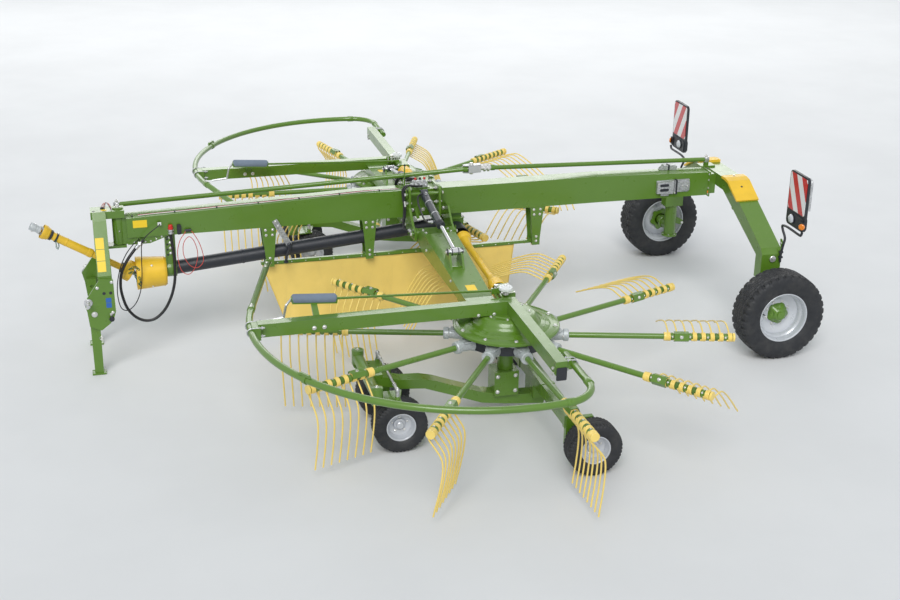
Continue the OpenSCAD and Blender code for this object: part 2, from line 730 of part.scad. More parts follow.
module ram_barrel_part(s) color("#3a3d42") on_side(s) {
    t = [ram_x, ram_top_y, ram_top_z];
    d = unit([0, ram_low_y - ram_top_y, ram_low_z - ram_top_z]);
    difference() {
        union() {
            bar(t, t + d * ram_barrel, ram_r);
            pin_x(t, 36, 60);
        }
        pin_x(t, ram_top_pin_r + run, 100);
        bar(t + d * 70, t + d * (ram_barrel + 5), ram_rod_r + run);
    }
}

module ram_rod(s) color("#c8cbd0") on_side(s) {
    e = [ram_x, ram_low_y, ram_low_z];
    d = unit([0, ram_low_y - ram_top_y, ram_low_z - ram_top_z]);
    len = norm([0, ram_low_y - ram_top_y, ram_low_z - ram_top_z]);
    bar(e - d * (len - 480), e, ram_rod_r);
    pin_x(e, 30, 2 * ram_ear - 22);
    pin_x(e, ram_low_pin_r, 2 * ram_ear + 32);
}

module drive_shaft(s) color("#e0b020") on_side(s) {
    j = [drive_x, joint_y, joint_z];
    k = [drive_x + 60, cup_y, drive_z];
    len = norm(k - j);
    translate(j) sphere(r = ball_r);
    // Tube that flares to the ball's housing and to the open cup at the rotor
    along(j, k) rotate_extrude() polygon([[0, 20], [ball_r * 0.75, 20], [side_tube_r, 150],
        [side_tube_r, len - 250], [cup_r, len - cup_len], [cup_r, len], [cup_r - 6, len],
        [cup_r - 6, len - cup_len + 10], [0, len - cup_len + 10]]);
}

// ROTORS

module rotor_housing(s) color(green) on_side(s) translate([0, rotor_y, 0]) {
    difference() {
        // Pressed cover: turned-down rim, bolted flange, two steps and a flat crown
        rotate_extrude() polygon([[0, hub_top + 8], [cover_rim_r - 10, hub_top + 8],
            [cover_rim_r - 10, hub_top + 1], [cover_rim_r, hub_top + 1],
            [cover_rim_r, hub_top + 20], [cover_rim_r - 8, hub_top + 26],
            [330, hub_top + 29], [320, hub_top + 38], [262, hub_top + 46], [246, hub_top + 56],
            [228, dome_top - 30], [212, dome_top - 12], [190, dome_top - 6], [152, dome_top - 6],
            [146, dome_top], [0, dome_top]]);
        // Notch that the lifting arm lies in
        translate([0, -rotor_y, 0]) slab_z(boom_end_z - boom_end_h - seat + 100, 200)
            boom_plan(seat, boom_end_y + seat);
    }
    // Post that carries the rotor on its chassis
    translate([0, 0, post_low]) cylinder(r = post_r, h = hub_top + 20 - post_low);
    // Drive input, its shaft stub, and the handwheel of the height adjustment
    input_y = cup_y + 20 - rotor_y;
    block([drive_x, input_y, 870], [20, -70, 1000]);
    bar([drive_x + 60, input_y - 90, drive_z], [drive_x + 60, input_y + 5, drive_z], 17);
    translate([-10, -44 - 24, 990]) cylinder(r = 20, h = 50);
    translate([-10, -44 - 24, 1035]) difference() {
        union() {
            cylinder(r = wheel_r, h = 24);
            cylinder(r = wheel_r * 0.62, h = 34);
        }
        for (k = [0:9]) rotate([0, 0, 36 * k]) translate([wheel_r + 3, 0, -1]) cylinder(r = 10, h = 26);
    }
    // Seat of the lifting arm
    block([seat_x0, boom_end_y - 196 - rotor_y, 868],
        [seat_x1, boom_end_y - rotor_y + 1, boom_end_z - boom_end_h - seat]);
    block([seat_x0, boom_end_y - rotor_y + seat, 868],
        [seat_x1, bearer_y - bearer_w / 2 - seat - rotor_y, boom_end_z + 5]);
}

module guard(s) color(green) on_side(s) {
    // Two arcs that meet with one tangent, from angle guard_a0 on the outer one to the straight at the back
    a1 = acos((guard_end_x + guard_small_r - guard_mid.x) / (guard_r - guard_small_r));
    c1 = guard_mid + (guard_r - guard_small_r) * [cos(a1), sin(a1)];
    p0 = guard_mid + guard_r * [cos(guard_a0), sin(guard_a0)];
    p1 = guard_mid + guard_r * [cos(a1), sin(a1)];
    d0 = [sin(guard_a0), -cos(guard_a0)];
    translate([guard_mid.x, guard_mid.y, guard_z]) rotate([0, 0, guard_a0 + 0.2])
        rotate_extrude(angle = a1 - guard_a0 - 0.4, $fn = 96) translate([guard_r, 0]) circle(r = rail_r);
    translate([c1.x, c1.y, guard_z]) rotate([0, 0, a1 + 1])
        rotate_extrude(angle = 178 - a1) translate([guard_small_r, 0]) circle(r = rail_r);
    rail(p0 + d0 * 5, p0 + d0 * guard_tail);
    rail([guard_end_x, c1.y - 5], [guard_end_x, 2832]);
    // Sleeves where the rail's lengths are joined
    sleeve(p0, d0);
    sleeve(p1, [-sin(a1), cos(a1)]);
    sleeve([guard_end_x, c1.y], [0, 1]);
    // Bearer: along the machine, then out to the end of the rail
    low = guard_z - 10 - bearer_h / 2;
    rail_x = guard_mid.x + sqrt(guard_r * guard_r - pow(bearer_y - guard_mid.y, 2));
    block([-60, bearer_y - bearer_w / 2, low], [rail_x - 52, bearer_y + bearer_w / 2, low + bearer_h]);
    block([-60, bearer_y, low], [20, 3020, low + bearer_h]);
    // Clamps that hold the rail
    block([rail_x - 64, bearer_y - 60, guard_z - 60], [rail_x - 9, bearer_y + 90, guard_z + 32]);
    block([guard_end_x + 15, 2940, guard_z - 32], [-50, 3000, guard_z + 32]);
    // Height adjustment: rod over the rotor's input, sleeve in its tray, and the crank in front
    for (i = [1:len(crank) - 1]) bar([crank[i - 1].x, crank_y, crank[i - 1].y],
        [crank[i].x, crank_y, crank[i].y], i == 3 ? crank_sleeve_r : crank_r);
    for (i = [2:len(crank) - 2]) translate([crank[i].x, crank_y, crank[i].y]) sphere(r = crank_r + 1);
    slab_x(1430, 44) polygon([[bearer_y - bearer_w / 2 + 1, low + 60],
        [bearer_y - bearer_w / 2 + 1, low + bearer_h],
        [crank_y + 24, 1052], [crank_y - 26, 1052], [crank_y - 26, 1044], [crank_y + 10, 1044]]);
    sleeve_at = (crank[2] + crank[3]) / 2;
    sleeve_dir = crank[3] - crank[2];
    translate([sleeve_at.x, crank_y, sleeve_at.y - crank_sleeve_r + 1])
        rotate([0, -atan(sleeve_dir.y / sleeve_dir.x), 0]) difference() {
            translate([-165, -32, -6]) cube([330, 64, 30]);
            translate([-170, -28, 0]) cube([340, 56, 40]);
        }
}

// Straight length of the rail, and a sleeve on it that points along d, at places given in (x, y)
module rail(a, b) bar([a.x, a.y, guard_z], [b.x, b.y, guard_z], rail_r);
module sleeve(p, d) rail_sleeve([p.x, p.y, guard_z], [d.x, d.y, 0] * 30);
module rail_sleeve(p, d) bar(p - d, p + d, rail_r + 4);

module chassis(s) color(green) on_side(s) translate([0, rotor_y, 0]) {
    // Curved longitudinal beam in (x, z)
    slab_y(0, 110) polygon([[1010, 500], [1010, 420], [817, 368], [640, 350], [429, 271], [191, 178],
        [0, 150], [-300, 118], [-320, 205], [-120, 215], [33, 233], [193, 268], [430, 354], [560, 405],
        [664, 431], [817, 440], [960, 480]]);
    // Clamp of the rotor post
    difference() {
        block([-85, -85, 232], [105, 85, 430]);
        translate([0, 0, 240]) cylinder(r = post_r + seat, h = 300);
    }
    // Front axle with its two steering pivots
    difference() {
        union() {
            pin_y([kingpin_x, 0, 482], 42, 2 * caster_y);
            for (y = [-1, 1]) translate([kingpin_x, y * caster_y, caster_plate_z + 10])
                cylinder(r = 46, h = 105);
        }
        for (y = [-1, 1]) translate([kingpin_x, y * caster_y, caster_plate_z])
            cylinder(r = 16 + run, h = 95);
    }
    block([960, -55, 440], [kingpin_x, 55, 500]);
    // Rear axle with drop brackets and stub axles
    block([-300, -820, 300], [-200, 820, 390]);
    block([-300, -100, 190], [-200, 100, 310]);
    for (y = [-1, 1]) {
        block([rear_wheel_x - 40, y * 810 - 20, 160], [-200, y * 810 + 20, 380]);
        bar([rear_wheel_x, y * 810, small_tyre_r],
            [rear_wheel_x, y * (rear_wheel_y + 30), small_tyre_r], 18);
    }
}

// ROTATING PARTS OF A ROTOR

module rotor_hub(s) color("#9a9ca0") on_side(s) translate([0, rotor_y, 0]) {
    phase = s > 0 ? left_phase : right_phase;
    difference() {
        union() {
            // Drum with a groove between its two flanges
            rotate_extrude() polygon([[0, hub_low], [hub_r - 50, hub_low], [hub_r - 30, hub_low + 10],
                [hub_r - 30, hub_low + 18], [hub_r - 42, hub_low + 24], [hub_r - 42, hub_top - 22],
                [hub_r - 20, hub_top - 14], [hub_r - 20, hub_top], [0, hub_top]]);
            for (k = [0:arm_count - 1]) rotate([0, 0, phase + 360 * k / arm_count])
                translate([0, 0, arm_z]) rotate([0, 90, 0]) socket_shape();
        }
        translate([0, 0, hub_low - 5]) cylinder(r = post_r + run, h = hub_top - hub_low + 10);
        for (k = [0:arm_count - 1]) rotate([0, 0, phase + 360 * k / arm_count])
            bar([arm_root_r, 0, arm_z], [socket_end_r + 10, 0, arm_z], arm_r + seat);
    }
}

// Cast socket about the arm's axis: flared root, tapered neck, and a collar at its mouth
module socket_shape() rotate_extrude() polygon([[0, hub_r - 90], [root_r, hub_r - 90], [root_r, hub_r - 22],
    [root_r - 8, hub_r - 4], [socket_r + 8, hub_r + 26], [socket_r, socket_end_r - 46],
    [socket_r + 1, socket_end_r - 42], [socket_r + 9, socket_end_r - 38], [socket_r + 9, socket_end_r - 8],
    [socket_r + 4, socket_end_r], [0, socket_end_r]]);

module rotor_arms(s) color(green) on_side(s) translate([0, rotor_y, 0]) {
    phase = s > 0 ? left_phase : right_phase;
    for (k = [0:arm_count - 1]) rotate([0, 0, phase + 360 * k / arm_count])
        translate([0, 0, arm_z]) {
            rotate([0, 90, 0]) arm_shape();
            rotate([arm_roll(phase + 360 * k / arm_count), 0, 0]) tine_plate();
        }
}

// Folded plate over the second and third tine, seated on their coils
module tine_plate() {
    z = coil_r - 1;
    slab_x(tine_first_r + tine_pitch * 1.5, tine_pitch * 2 - 22) polygon([[-38, 6], [-27, z + 4],
        [27, z + 4],
        [38, 6], [34, 6], [25, z], [-25, z], [-34, 6]]);
}

// Arm about its own axis: a tube that steps out where the tines' coils sit
module arm_shape() rotate_extrude() polygon(concat(
    [[0, arm_root_r + seat], [arm_r, arm_root_r + seat]],
    [for (i = [0:tine_count - 1]) let (a = tine_first_r + tine_pitch * i - coil_w / 2)
        each [[arm_r, a], [coil_r, a], [coil_r, a + coil_w], [arm_r, a + coil_w]]],
    [[arm_r, arm_tip_r], [0, arm_tip_r]]));

// Angle by which an arm is rolled, by its angle round the rotor
function arm_roll(a) = let (t = (a % 360 + 360) % 360)
    roll_max * step01((t - 80) / 72) * (1 - step01((t - 240) / 65));

module tines(s) color(yellow) on_side(s) translate([0, rotor_y, 0]) {
    phase = s > 0 ? left_phase : right_phase;
    for (k = [0:arm_count - 1]) {
        a = phase + 360 * k / arm_count;
        rotate([0, 0, a]) translate([0, 0, arm_z]) rotate([arm_roll(a), 0, 0])
            for (i = [0:tine_count - 1]) let (r = tine_first_r + tine_pitch * i)
                sweep([for (p = tine_path) [r, p.x, p.y]], tine_wire_r, 6, [1, 0, 0]);
    }
}

module tie_rod(s) color("#c8cbd0") on_side(s) translate([0, rotor_y, 0]) {
    bar([tie_x, -caster_y - 12, tie_z], [tie_x, caster_y + 12, tie_z], 9);
    for (y = [-1, 1]) translate([tie_x, y * caster_y, tie_z - 48 + seat]) cylinder(r = 14, h = 58);
}

// y is the side of the rotor that the wheel is on
module caster(s, y) color(green) on_side(s) translate([0, rotor_y, 0]) {
    in_y = front_wheel_y - small_tyre_w / 2 - 18;
    top = caster_plate_z + 5;
    mirror([0, y > 0 ? 0 : 1, 0]) {
        translate([kingpin_x, caster_y, top - 10]) cylinder(r = 16, h = 94);
        slab_z(caster_plate_z, 10) polygon([[kingpin_x + 40, caster_y - 40], [kingpin_x + 40, caster_y + 40],
            [kingpin_x - 40, caster_y + 40], [front_wheel_x, caster_y + 26], [front_wheel_x, caster_y - 20],
            [front_wheel_x - 40, in_y - 6], [kingpin_x, in_y - 6]]);
        translate([tie_x, caster_y, top - 1]) cylinder(r = 18, h = tie_z - 48 - top + 1);
        slab_y(in_y, 12) polygon([[front_wheel_x - 40, top - 2], [kingpin_x - 20, top - 2],
            [front_wheel_x + 30, 180], [front_wheel_x - 30, 180]]);
        bar([front_wheel_x, in_y, small_tyre_r], [front_wheel_x, front_wheel_y + 30, small_tyre_r], 15);
    }
}

module small_wheel(s, x, y) color("#26282b") on_side(s) translate([x, rotor_y + y, small_tyre_r]) {
    tyre_shape(small_tyre_r, small_tyre_w, small_rim_r);
    mirror([0, y > 0 ? 1 : 0, 0]) rim_shape(small_rim_r, small_tyre_w, 0, 45, (x > 0 ? 15 : 18) + run);
}

place() main_beam();
place() centre_frame();
place() gearbox();
place() drive_covers();
place() yellow_guards();
place() rear_arch();
place() wheel_chocks();
place() curtain_frame();
place() curtain();
place() warning_boards();
place() hydraulic_hose();
place() cable();
place() red_rope();
place() headstock();
place() pto_shaft();
place() stand_leg(1);  // stand_leg_left
place() stand_leg(-1);  // stand_leg_right
place() steering_rod();
place() knuckle(1);  // knuckle_left
place() knuckle(-1);  // knuckle_right
place() rear_rim(1);  // rear_rim_left
place() rear_rim(-1);  // rear_rim_right
place() rear_tyre(1);  // rear_tyre_left
place() rear_tyre(-1);  // rear_tyre_right
place() boom(1);  // boom_left
place() boom(-1);  // boom_right
place() rotor_housing(1);  // rotor_housing_left
place() rotor_housing(-1);  // rotor_housing_right
place() guard(1);  // guard_left
place() guard(-1);  // guard_right
place() chassis(1);  // chassis_left
place() chassis(-1);  // chassis_right
place() ram_barrel_part(1);  // ram_barrel_left
place() ram_barrel_part(-1);  // ram_barrel_right
place() ram_rod(1);  // ram_rod_left
place() ram_rod(-1);  // ram_rod_right
place() drive_shaft(1);  // drive_shaft_left
place() drive_shaft(-1);  // drive_shaft_right
place() rotor_hub(1);  // rotor_hub_left
place() rotor_hub(-1);  // rotor_hub_right
place() rotor_arms(1);  // rotor_arms_left
place() rotor_arms(-1);  // rotor_arms_right
place() tines(1);  // tines_left
place() tines(-1);  // tines_right
place() tie_rod(1);  // tie_rod_left
place() tie_rod(-1);  // tie_rod_right
place() caster(1, 1);  // caster_out_left
place() caster(-1, 1);  // caster_out_right
place() caster(1, -1);  // caster_in_left
place() caster(-1, -1);  // caster_in_right
place() small_wheel(1, front_wheel_x, front_wheel_y);  // front_wheel_out_left
place() small_wheel(-1, front_wheel_x, front_wheel_y);  // front_wheel_out_right
place() small_wheel(1, front_wheel_x, -front_wheel_y);  // front_wheel_in_left
place() small_wheel(-1, front_wheel_x, -front_wheel_y);  // front_wheel_in_right
place() small_wheel(1, rear_wheel_x, rear_wheel_y);  // back_wheel_out_left
place() small_wheel(-1, rear_wheel_x, rear_wheel_y);  // back_wheel_out_right
place() small_wheel(1, rear_wheel_x, -rear_wheel_y);  // back_wheel_in_left
place() small_wheel(-1, rear_wheel_x, -rear_wheel_y);  // back_wheel_in_right
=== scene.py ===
import json
import math

import bpy
import numpy as np
from mathutils import Matrix, Vector


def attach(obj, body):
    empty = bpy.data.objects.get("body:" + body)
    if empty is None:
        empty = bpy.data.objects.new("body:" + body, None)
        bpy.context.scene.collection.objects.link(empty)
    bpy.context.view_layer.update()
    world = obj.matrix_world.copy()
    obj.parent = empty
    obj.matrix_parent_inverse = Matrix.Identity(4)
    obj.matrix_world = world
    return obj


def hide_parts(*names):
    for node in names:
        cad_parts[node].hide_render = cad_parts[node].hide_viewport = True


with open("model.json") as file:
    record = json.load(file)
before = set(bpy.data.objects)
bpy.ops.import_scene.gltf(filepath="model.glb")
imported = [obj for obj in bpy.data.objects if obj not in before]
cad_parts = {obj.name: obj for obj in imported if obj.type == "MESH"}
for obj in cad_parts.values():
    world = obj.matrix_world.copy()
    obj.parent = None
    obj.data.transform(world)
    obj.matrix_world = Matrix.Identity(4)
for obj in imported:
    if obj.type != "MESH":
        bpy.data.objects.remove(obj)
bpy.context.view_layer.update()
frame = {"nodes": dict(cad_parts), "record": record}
nodes = frame["nodes"]

# Shapes are drawn in the CAD source's machine frame, in millimetres, with X = 0 at the rotor axes.
CENTRE_X = 215.5
TO_ROW = Matrix.Translation((-CENTRE_X / 1000, 0, 0)) @ Matrix.Scale(0.001, 4)


# MATERIALS

def srgb(r, g, b):
    return [((c / 255 + 0.055) / 1.055) ** 2.4 if c > 10 else c / 3295 for c in (r, g, b)]


class Nodes:
    """A material's node tree, with short calls for the nodes that most finishes share."""

    def __init__(self, name):
        self.mat = bpy.data.materials.new(name)
        self.mat.use_nodes = True
        self.tree = self.mat.node_tree
        self.shader = self.tree.nodes["Principled BSDF"]
        self.where = self.new("ShaderNodeTexCoord").outputs["Object"]

    def new(self, kind, **values):
        node = self.tree.nodes.new(kind)
        for key, value in values.items():
            setattr(node, key, value)
        return node

    def join(self, a, b):
        self.tree.links.new(a, b)

    def put(self, socket, value):
        if hasattr(value, "is_output"):
            self.join(value, socket)
        else:
            socket.default_value = value

    def noise(self, scale, detail=3.0, rough=0.55, where=None, stretch=None):
        node = self.new("ShaderNodeTexNoise")
        node.inputs["Scale"].default_value = scale
        node.inputs["Detail"].default_value = detail
        node.inputs["Roughness"].default_value = rough
        source = where or self.where
        if stretch:
            mapping = self.new("ShaderNodeMapping")
            mapping.inputs["Scale"].default_value = stretch
            self.join(source, mapping.inputs["Vector"])
            source = mapping.outputs[0]
        self.join(source, node.inputs["Vector"])
        return node.outputs["Fac"]

    def span(self, value, a, b, c, d):
        node = self.new("ShaderNodeMapRange")
        node.interpolation_type = "SMOOTHSTEP" if c <= d and a < b else "LINEAR"
        self.join(value, node.inputs["Value"])
        for key, v in zip(("From Min", "From Max", "To Min", "To Max"), (a, b, c, d)):
            node.inputs[key].default_value = v
        return node.outputs["Result"]

    def math(self, kind, a, b=0.0):
        node = self.new("ShaderNodeMath", operation=kind)
        self.put(node.inputs[0], a)
        self.put(node.inputs[1], b)
        return node.outputs[0]

    def mix(self, share, a, b):
        node = self.new("ShaderNodeMix", data_type="RGBA")
        self.put(node.inputs["Factor"], share)
        self.put(node.inputs[6], a if hasattr(a, "is_output") else (*a, 1))
        self.put(node.inputs[7], b if hasattr(b, "is_output") else (*b, 1))
        return node.outputs[2]

    def bump(self, *layers):
        """Layers are (height, depth in metres)."""
        normal = None
        for height, depth in layers:
            node = self.new("ShaderNodeBump")
            node.inputs["Strength"].default_value = 1.0
            node.inputs["Distance"].default_value = depth
            self.join(height, node.inputs["Height"])
            if normal:
                self.join(normal, node.inputs["Normal"])
            normal = node.outputs[0]
        self.join(normal, self.shader.inputs["Normal"])

    def inside(self, lo, hi):
        """1 inside a box given in the machine frame in millimetres, on either side of the machine."""
        if not hasattr(self, "axes"):
            split = self.new("ShaderNodeSeparateXYZ")
            self.join(self.where, split.inputs[0])
            self.axes = (split.outputs["X"], self.math("ABSOLUTE", split.outputs["Y"]), split.outputs["Z"])
        share = None
        for k, axis in enumerate(self.axes):
            a, b = [(v - (CENTRE_X if k == 0 else 0)) / 1000 for v in (lo[k], hi[k])]
            node = self.new("ShaderNodeMath", operation="COMPARE")
            self.join(axis, node.inputs[0])
            node.inputs[1].default_value, node.inputs[2].default_value = (a + b) / 2, (b - a) / 2
            share = self.math("MULTIPLY", share, node.outputs[0]) if share else node.outputs[0]
        return share

    def up(self):
        """How far a surface faces the sky, 0 to 1."""
        geometry = self.new("ShaderNodeNewGeometry")
        split = self.new("ShaderNodeSeparateXYZ")
        self.join(geometry.outputs["Normal"], split.inputs[0])
        return self.span(split.outputs["Z"], 0.1, 1.0, 0.0, 1.0)

    def set(self, **values):
        for key, value in values.items():
            self.put(self.shader.inputs[key.replace("_", " ").title().replace("Ior", "IOR")], value)
        return self.mat


DUST = srgb(176, 170, 150)


def paint(name, colour, rough=0.3, coat=0.5, dust=0.05, metal=0.0, vary=0.035, zones=()):
    """Sprayed paint: faint cloudiness, orange peel, and dust on what faces up.

    zones are boxes of bare metal or plastic.
    """
    n = Nodes(name)
    cloud = n.noise(1.1, 3)
    deep = [c * (1 - vary) for c in colour]
    light = [min(1, c * (1 + vary)) for c in colour]
    base = n.mix(n.span(cloud, 0.35, 0.65, 0, 1), deep, light)
    specks = n.span(n.noise(26, 5, 0.7), 0.45, 0.75, 0.15, 1)
    base = n.mix(n.math("MULTIPLY", n.math("MULTIPLY", n.up(), specks), dust), base, DUST)
    scuffs = n.span(n.noise(7, 6, 0.75), 0.66, 0.74, 0, 0.22)
    base = n.mix(scuffs, base, [c * 0.72 for c in colour])
    n.bump((n.noise(380, 2), 0.000012), (n.noise(5, 2), 0.00012))
    roughness = n.span(n.noise(14, 4), 0.3, 0.7, rough * 0.9, rough * 1.15)
    metallic = None
    for lo, hi, tint, shine, grain in zones:
        share = n.inside(lo, hi)
        base = n.mix(share, base, tint)
        roughness = n.math("ADD", n.math("MULTIPLY", roughness, n.math("SUBTRACT", 1.0, share)),
                           n.math("MULTIPLY", share, grain))
        part = n.math("MULTIPLY", share, shine)
        metallic = n.math("MAXIMUM", metallic, part) if metallic else part
    return n.set(base_color=base, roughness=roughness, metallic=metallic or metal, coat_weight=coat,
                 coat_roughness=0.12)


def plastic(name, colour, rough=0.45, dust=0.1, grain=0.0001):
    """Moulded plastic with a fine grain."""
    n = Nodes(name)
    base = n.mix(n.span(n.noise(3.1, 4), 0.3, 0.7, 0, 1), [c * 0.86 for c in colour],
                 [min(1, c * 1.1) for c in colour])
    scuffs = n.span(n.noise(55, 6, 0.75), 0.58, 0.72, 0, 1)
    base = n.mix(n.math("MULTIPLY", n.math("MULTIPLY", n.up(), scuffs), dust * 2), base, DUST)
    n.bump((n.noise(900, 2), grain * 0.3), (n.noise(70, 3), grain * 0.4))
    return n.set(base_color=base, roughness=n.span(n.noise(22, 4), 0.3, 0.7, rough * 0.85, rough * 1.2))


def steel(name, colour, rough=0.35, metal=0.9, spangle=0.0):
    """Bare, zinc-plated or galvanised steel, with crystal-like spangle where asked."""
    n = Nodes(name)
    shade = n.noise(12, 5)
    if spangle:
        cells = n.new("ShaderNodeTexVoronoi")
        cells.inputs["Scale"].default_value = 95
        n.join(n.where, cells.inputs["Vector"])
        split = n.new("ShaderNodeSeparateColor")
        n.join(cells.outputs["Color"], split.inputs[0])
        shade = split.outputs[0]
    base = n.mix(n.span(shade, 0.2, 0.8, 0, 1), [c * (0.88 - spangle) for c in colour], colour)
    n.bump((n.noise(240, 3), 0.00006), (n.noise(30, 3), 0.0001))
    return n.set(base_color=base, metallic=metal, roughness=n.span(n.noise(35, 4), 0.3, 0.7, rough * 0.7,
                                                                   rough * 1.3))


def rubber(name, colour, rough=0.62, dust=0.35):
    """Rubber, greyer where dust sticks in its roughness."""
    n = Nodes(name)
    grey = n.span(n.noise(8, 6, 0.7), 0.4, 0.7, 0, dust)
    base = n.mix(grey, colour, srgb(82, 80, 76))
    n.bump((n.noise(330, 4), 0.00015), (n.noise(40, 3), 0.0003))
    return n.set(base_color=base, roughness=n.span(n.noise(17, 4), 0.3, 0.7, rough * 0.8, rough * 1.2))


def woven(name, colour, pitch=0.0028):
    """Coated fabric: a plain weave under the coating, with soft marks and dust along the folds."""
    n = Nodes(name)
    split = n.new("ShaderNodeSeparateXYZ")
    n.join(n.where, split.inputs[0])
    turn = 2 * math.pi / pitch
    warp = n.math("SINE", n.math("MULTIPLY", split.outputs["X"], turn))
    weft = n.math("SINE", n.math("MULTIPLY", split.outputs["Z"], turn))
    weave = n.math("ABSOLUTE", n.math("MULTIPLY", warp, weft))
    cloud = n.span(n.noise(1.7, 5), 0.3, 0.7, 0, 1)
    base = n.mix(cloud, [c * 0.9 for c in colour], [min(1, c * 1.06) for c in colour])
    streaks = n.span(n.noise(6, 6, 0.7, stretch=(1.2, 1, 0.25)), 0.52, 0.75, 0, 0.16)
    base = n.mix(streaks, base, srgb(150, 132, 92))
    n.bump((weave, 0.00025), (n.noise(14, 4), 0.0012), (n.noise(3, 2), 0.004))
    return n.set(base_color=base, roughness=n.span(n.noise(11, 4), 0.3, 0.7, 0.42, 0.58), sheen_weight=0.1,
                 sheen_roughness=0.4)


def lens(name, colour):
    """Fluted lamp glass."""
    n = Nodes(name)
    split = n.new("ShaderNodeSeparateXYZ")
    n.join(n.where, split.inputs[0])
    flutes = n.math("SINE", n.math("MULTIPLY", split.outputs["Z"], 1600))
    n.bump((flutes, 0.0004))
    return n.set(base_color=n.mix(n.span(flutes, -1, 1, 0, 1), [c * 0.8 for c in colour], colour),
                 roughness=0.12,
                 coat_weight=1.0, coat_roughness=0.03)


GREEN = srgb(88, 126, 34)
STEEL_TINT = srgb(206, 208, 210)
m_green = paint("green_paint", GREEN)
# Dark green paint: the real finish of its CAD slot, and also painted shade on every other tine spacer
m_dark_green_and_shade = paint("dark_green_paint", srgb(72, 108, 32), 0.45, 0.2)
m_black = plastic("black_plastic", srgb(38, 41, 48), 0.38)
m_yellow = plastic("yellow_plastic", srgb(234, 190, 50), 0.36, grain=0.00006)
m_wire = paint("yellow_wire", srgb(242, 212, 112), 0.4, 0.3, 0.02, vary=0.06)
m_curtain = woven("curtain_sheet", srgb(240, 208, 112))
m_hem = woven("curtain_hem", srgb(222, 190, 96), 0.0016)
m_zinc = steel("zinc_steel", srgb(206, 208, 210), 0.38, 0.7, 0.16)
m_bolt = steel("bolt_steel", srgb(222, 222, 220), 0.3, 0.75)
m_chrome = steel("rod_chrome", srgb(228, 230, 234), 0.12, 1.0)
m_silver = paint("rim_silver", srgb(196, 199, 204), 0.3, 0.35, 0.04, metal=0.25)
m_tyre = rubber("tyre_rubber", srgb(34, 36, 40), dust=0.25)
m_hose = rubber("hose_rubber", srgb(26, 27, 31), 0.42, 0.08)
m_cable = plastic("cable_sheath", srgb(30, 31, 34), 0.5)
m_rope = plastic("rope_fibre", srgb(196, 74, 66), 0.8, grain=0.0004)
m_hub = steel("hub_iron", srgb(192, 197, 198), 0.5, 0.3, 0.04)
m_black_paint = paint("black_paint", srgb(46, 52, 60), 0.32, 0.4)
m_blue = paint("blue_patch", srgb(38, 96, 176), 0.4, 0.2)
m_patch = paint("yellow_patch", srgb(244, 206, 30), 0.38, 0.2, 0.02)
m_white = plastic("white_plastic", srgb(226, 228, 226), 0.4)
m_red = plastic("red_plastic", srgb(196, 36, 30), 0.38)
m_foam = plastic("grey_foam", srgb(116, 128, 144), 0.85, grain=0.0006)
m_chain = paint("green_chain", srgb(30, 92, 62), 0.4, 0.2)
m_orange = lens("orange_lens", srgb(250, 140, 20))
m_red_lens = lens("red_lens", srgb(214, 34, 26))
m_clear = lens("clear_lens", srgb(214, 218, 224))
BY_SLOT = {"green_paint": m_green, "dark_green_paint": m_dark_green_and_shade, "black_plastic": m_black,
           "yellow_plastic": m_yellow, "yellow_wire": m_wire, "curtain_sheet": m_curtain,
           "zinc_steel": m_zinc,
           "hose_rubber": m_hose, "cable_sheath": m_cable, "rope_fibre": m_rope, "rim_silver": m_silver,
           "tyre_rubber": m_tyre, "black_paint": m_black_paint, "rod_chrome": m_chrome, "hub_iron": m_hub}


# SHAPES: each returns points in millimetres and faces

def frames_along(path):
    """Directions and carried side vectors of a path."""
    p = np.asarray(path, float)
    t = np.gradient(p, axis=0)
    t /= np.linalg.norm(t, axis=1)[:, None]
    first = np.cross(t[0], [0.3, 0.2, 0.93])
    if np.linalg.norm(first) < 0.2:
        first = np.cross(t[0], [1, 0, 0])
    u = [first / np.linalg.norm(first)]
    for k in range(1, len(p)):
        w = u[-1] - np.dot(u[-1], t[k]) * t[k]
        u.append(w / np.linalg.norm(w))
    u = np.array(u)
    return p, t, u, np.cross(t, u)


def tube(path, r, sides=12, caps=True):
    """Round tube; r is one radius or one for each point."""
    p, _, u, v = frames_along(path)
    r = np.broadcast_to(np.asarray(r, float), (len(p),))
    a = np.arange(sides) * 2 * math.pi / sides
    ring = p[:, None] + r[:, None, None] * (np.cos(a)[None, :, None] * u[:, None]
                                            + np.sin(a)[None, :, None] * v[:, None])
    verts = ring.reshape(-1, 3)
    faces = [(i * sides + k, i * sides + (k + 1) % sides, (i + 1) * sides + (k + 1) % sides,
              (i + 1) * sides + k)
             for i in range(len(p) - 1) for k in range(sides)]
    if caps:
        faces += [tuple(range(sides - 1, -1, -1)), tuple((len(p) - 1) * sides + k for k in range(sides))]
    return verts, faces


def rod(a, b, r, sides=20, chamfer=1.5):
    """Straight round bar with chamfered ends."""
    a, b = np.asarray(a, float), np.asarray(b, float)
    d = (b - a) / np.linalg.norm(b - a)
    c = min(chamfer, r * 0.4)
    return tube([a, a + d * c, b - d * c, b], [r - c, r, r, r - c], sides)


def smooth_path(points, n=8):
    """Catmull-Rom curve through the points."""
    p = np.asarray(points, float)
    p = np.vstack([2 * p[0] - p[1], p, 2 * p[-1] - p[-2]])
    out = []
    for i in range(1, len(p) - 2):
        for s in np.arange(n) / n:
            a, b, c, d = p[i - 1:i + 3]
            out.append(0.5 * (2 * b + (c - a) * s + (2 * a - 5 * b + 4 * c - d) * s ** 2
                              + (3 * b - a - 3 * c + d) * s ** 3))
    out.append(p[-2])
    return np.array(out)


def basis(axis):
    t = Vector(axis).normalized()
    u = t.orthogonal().normalized()
    return np.array(u), np.array(t.cross(u)), np.array(t)


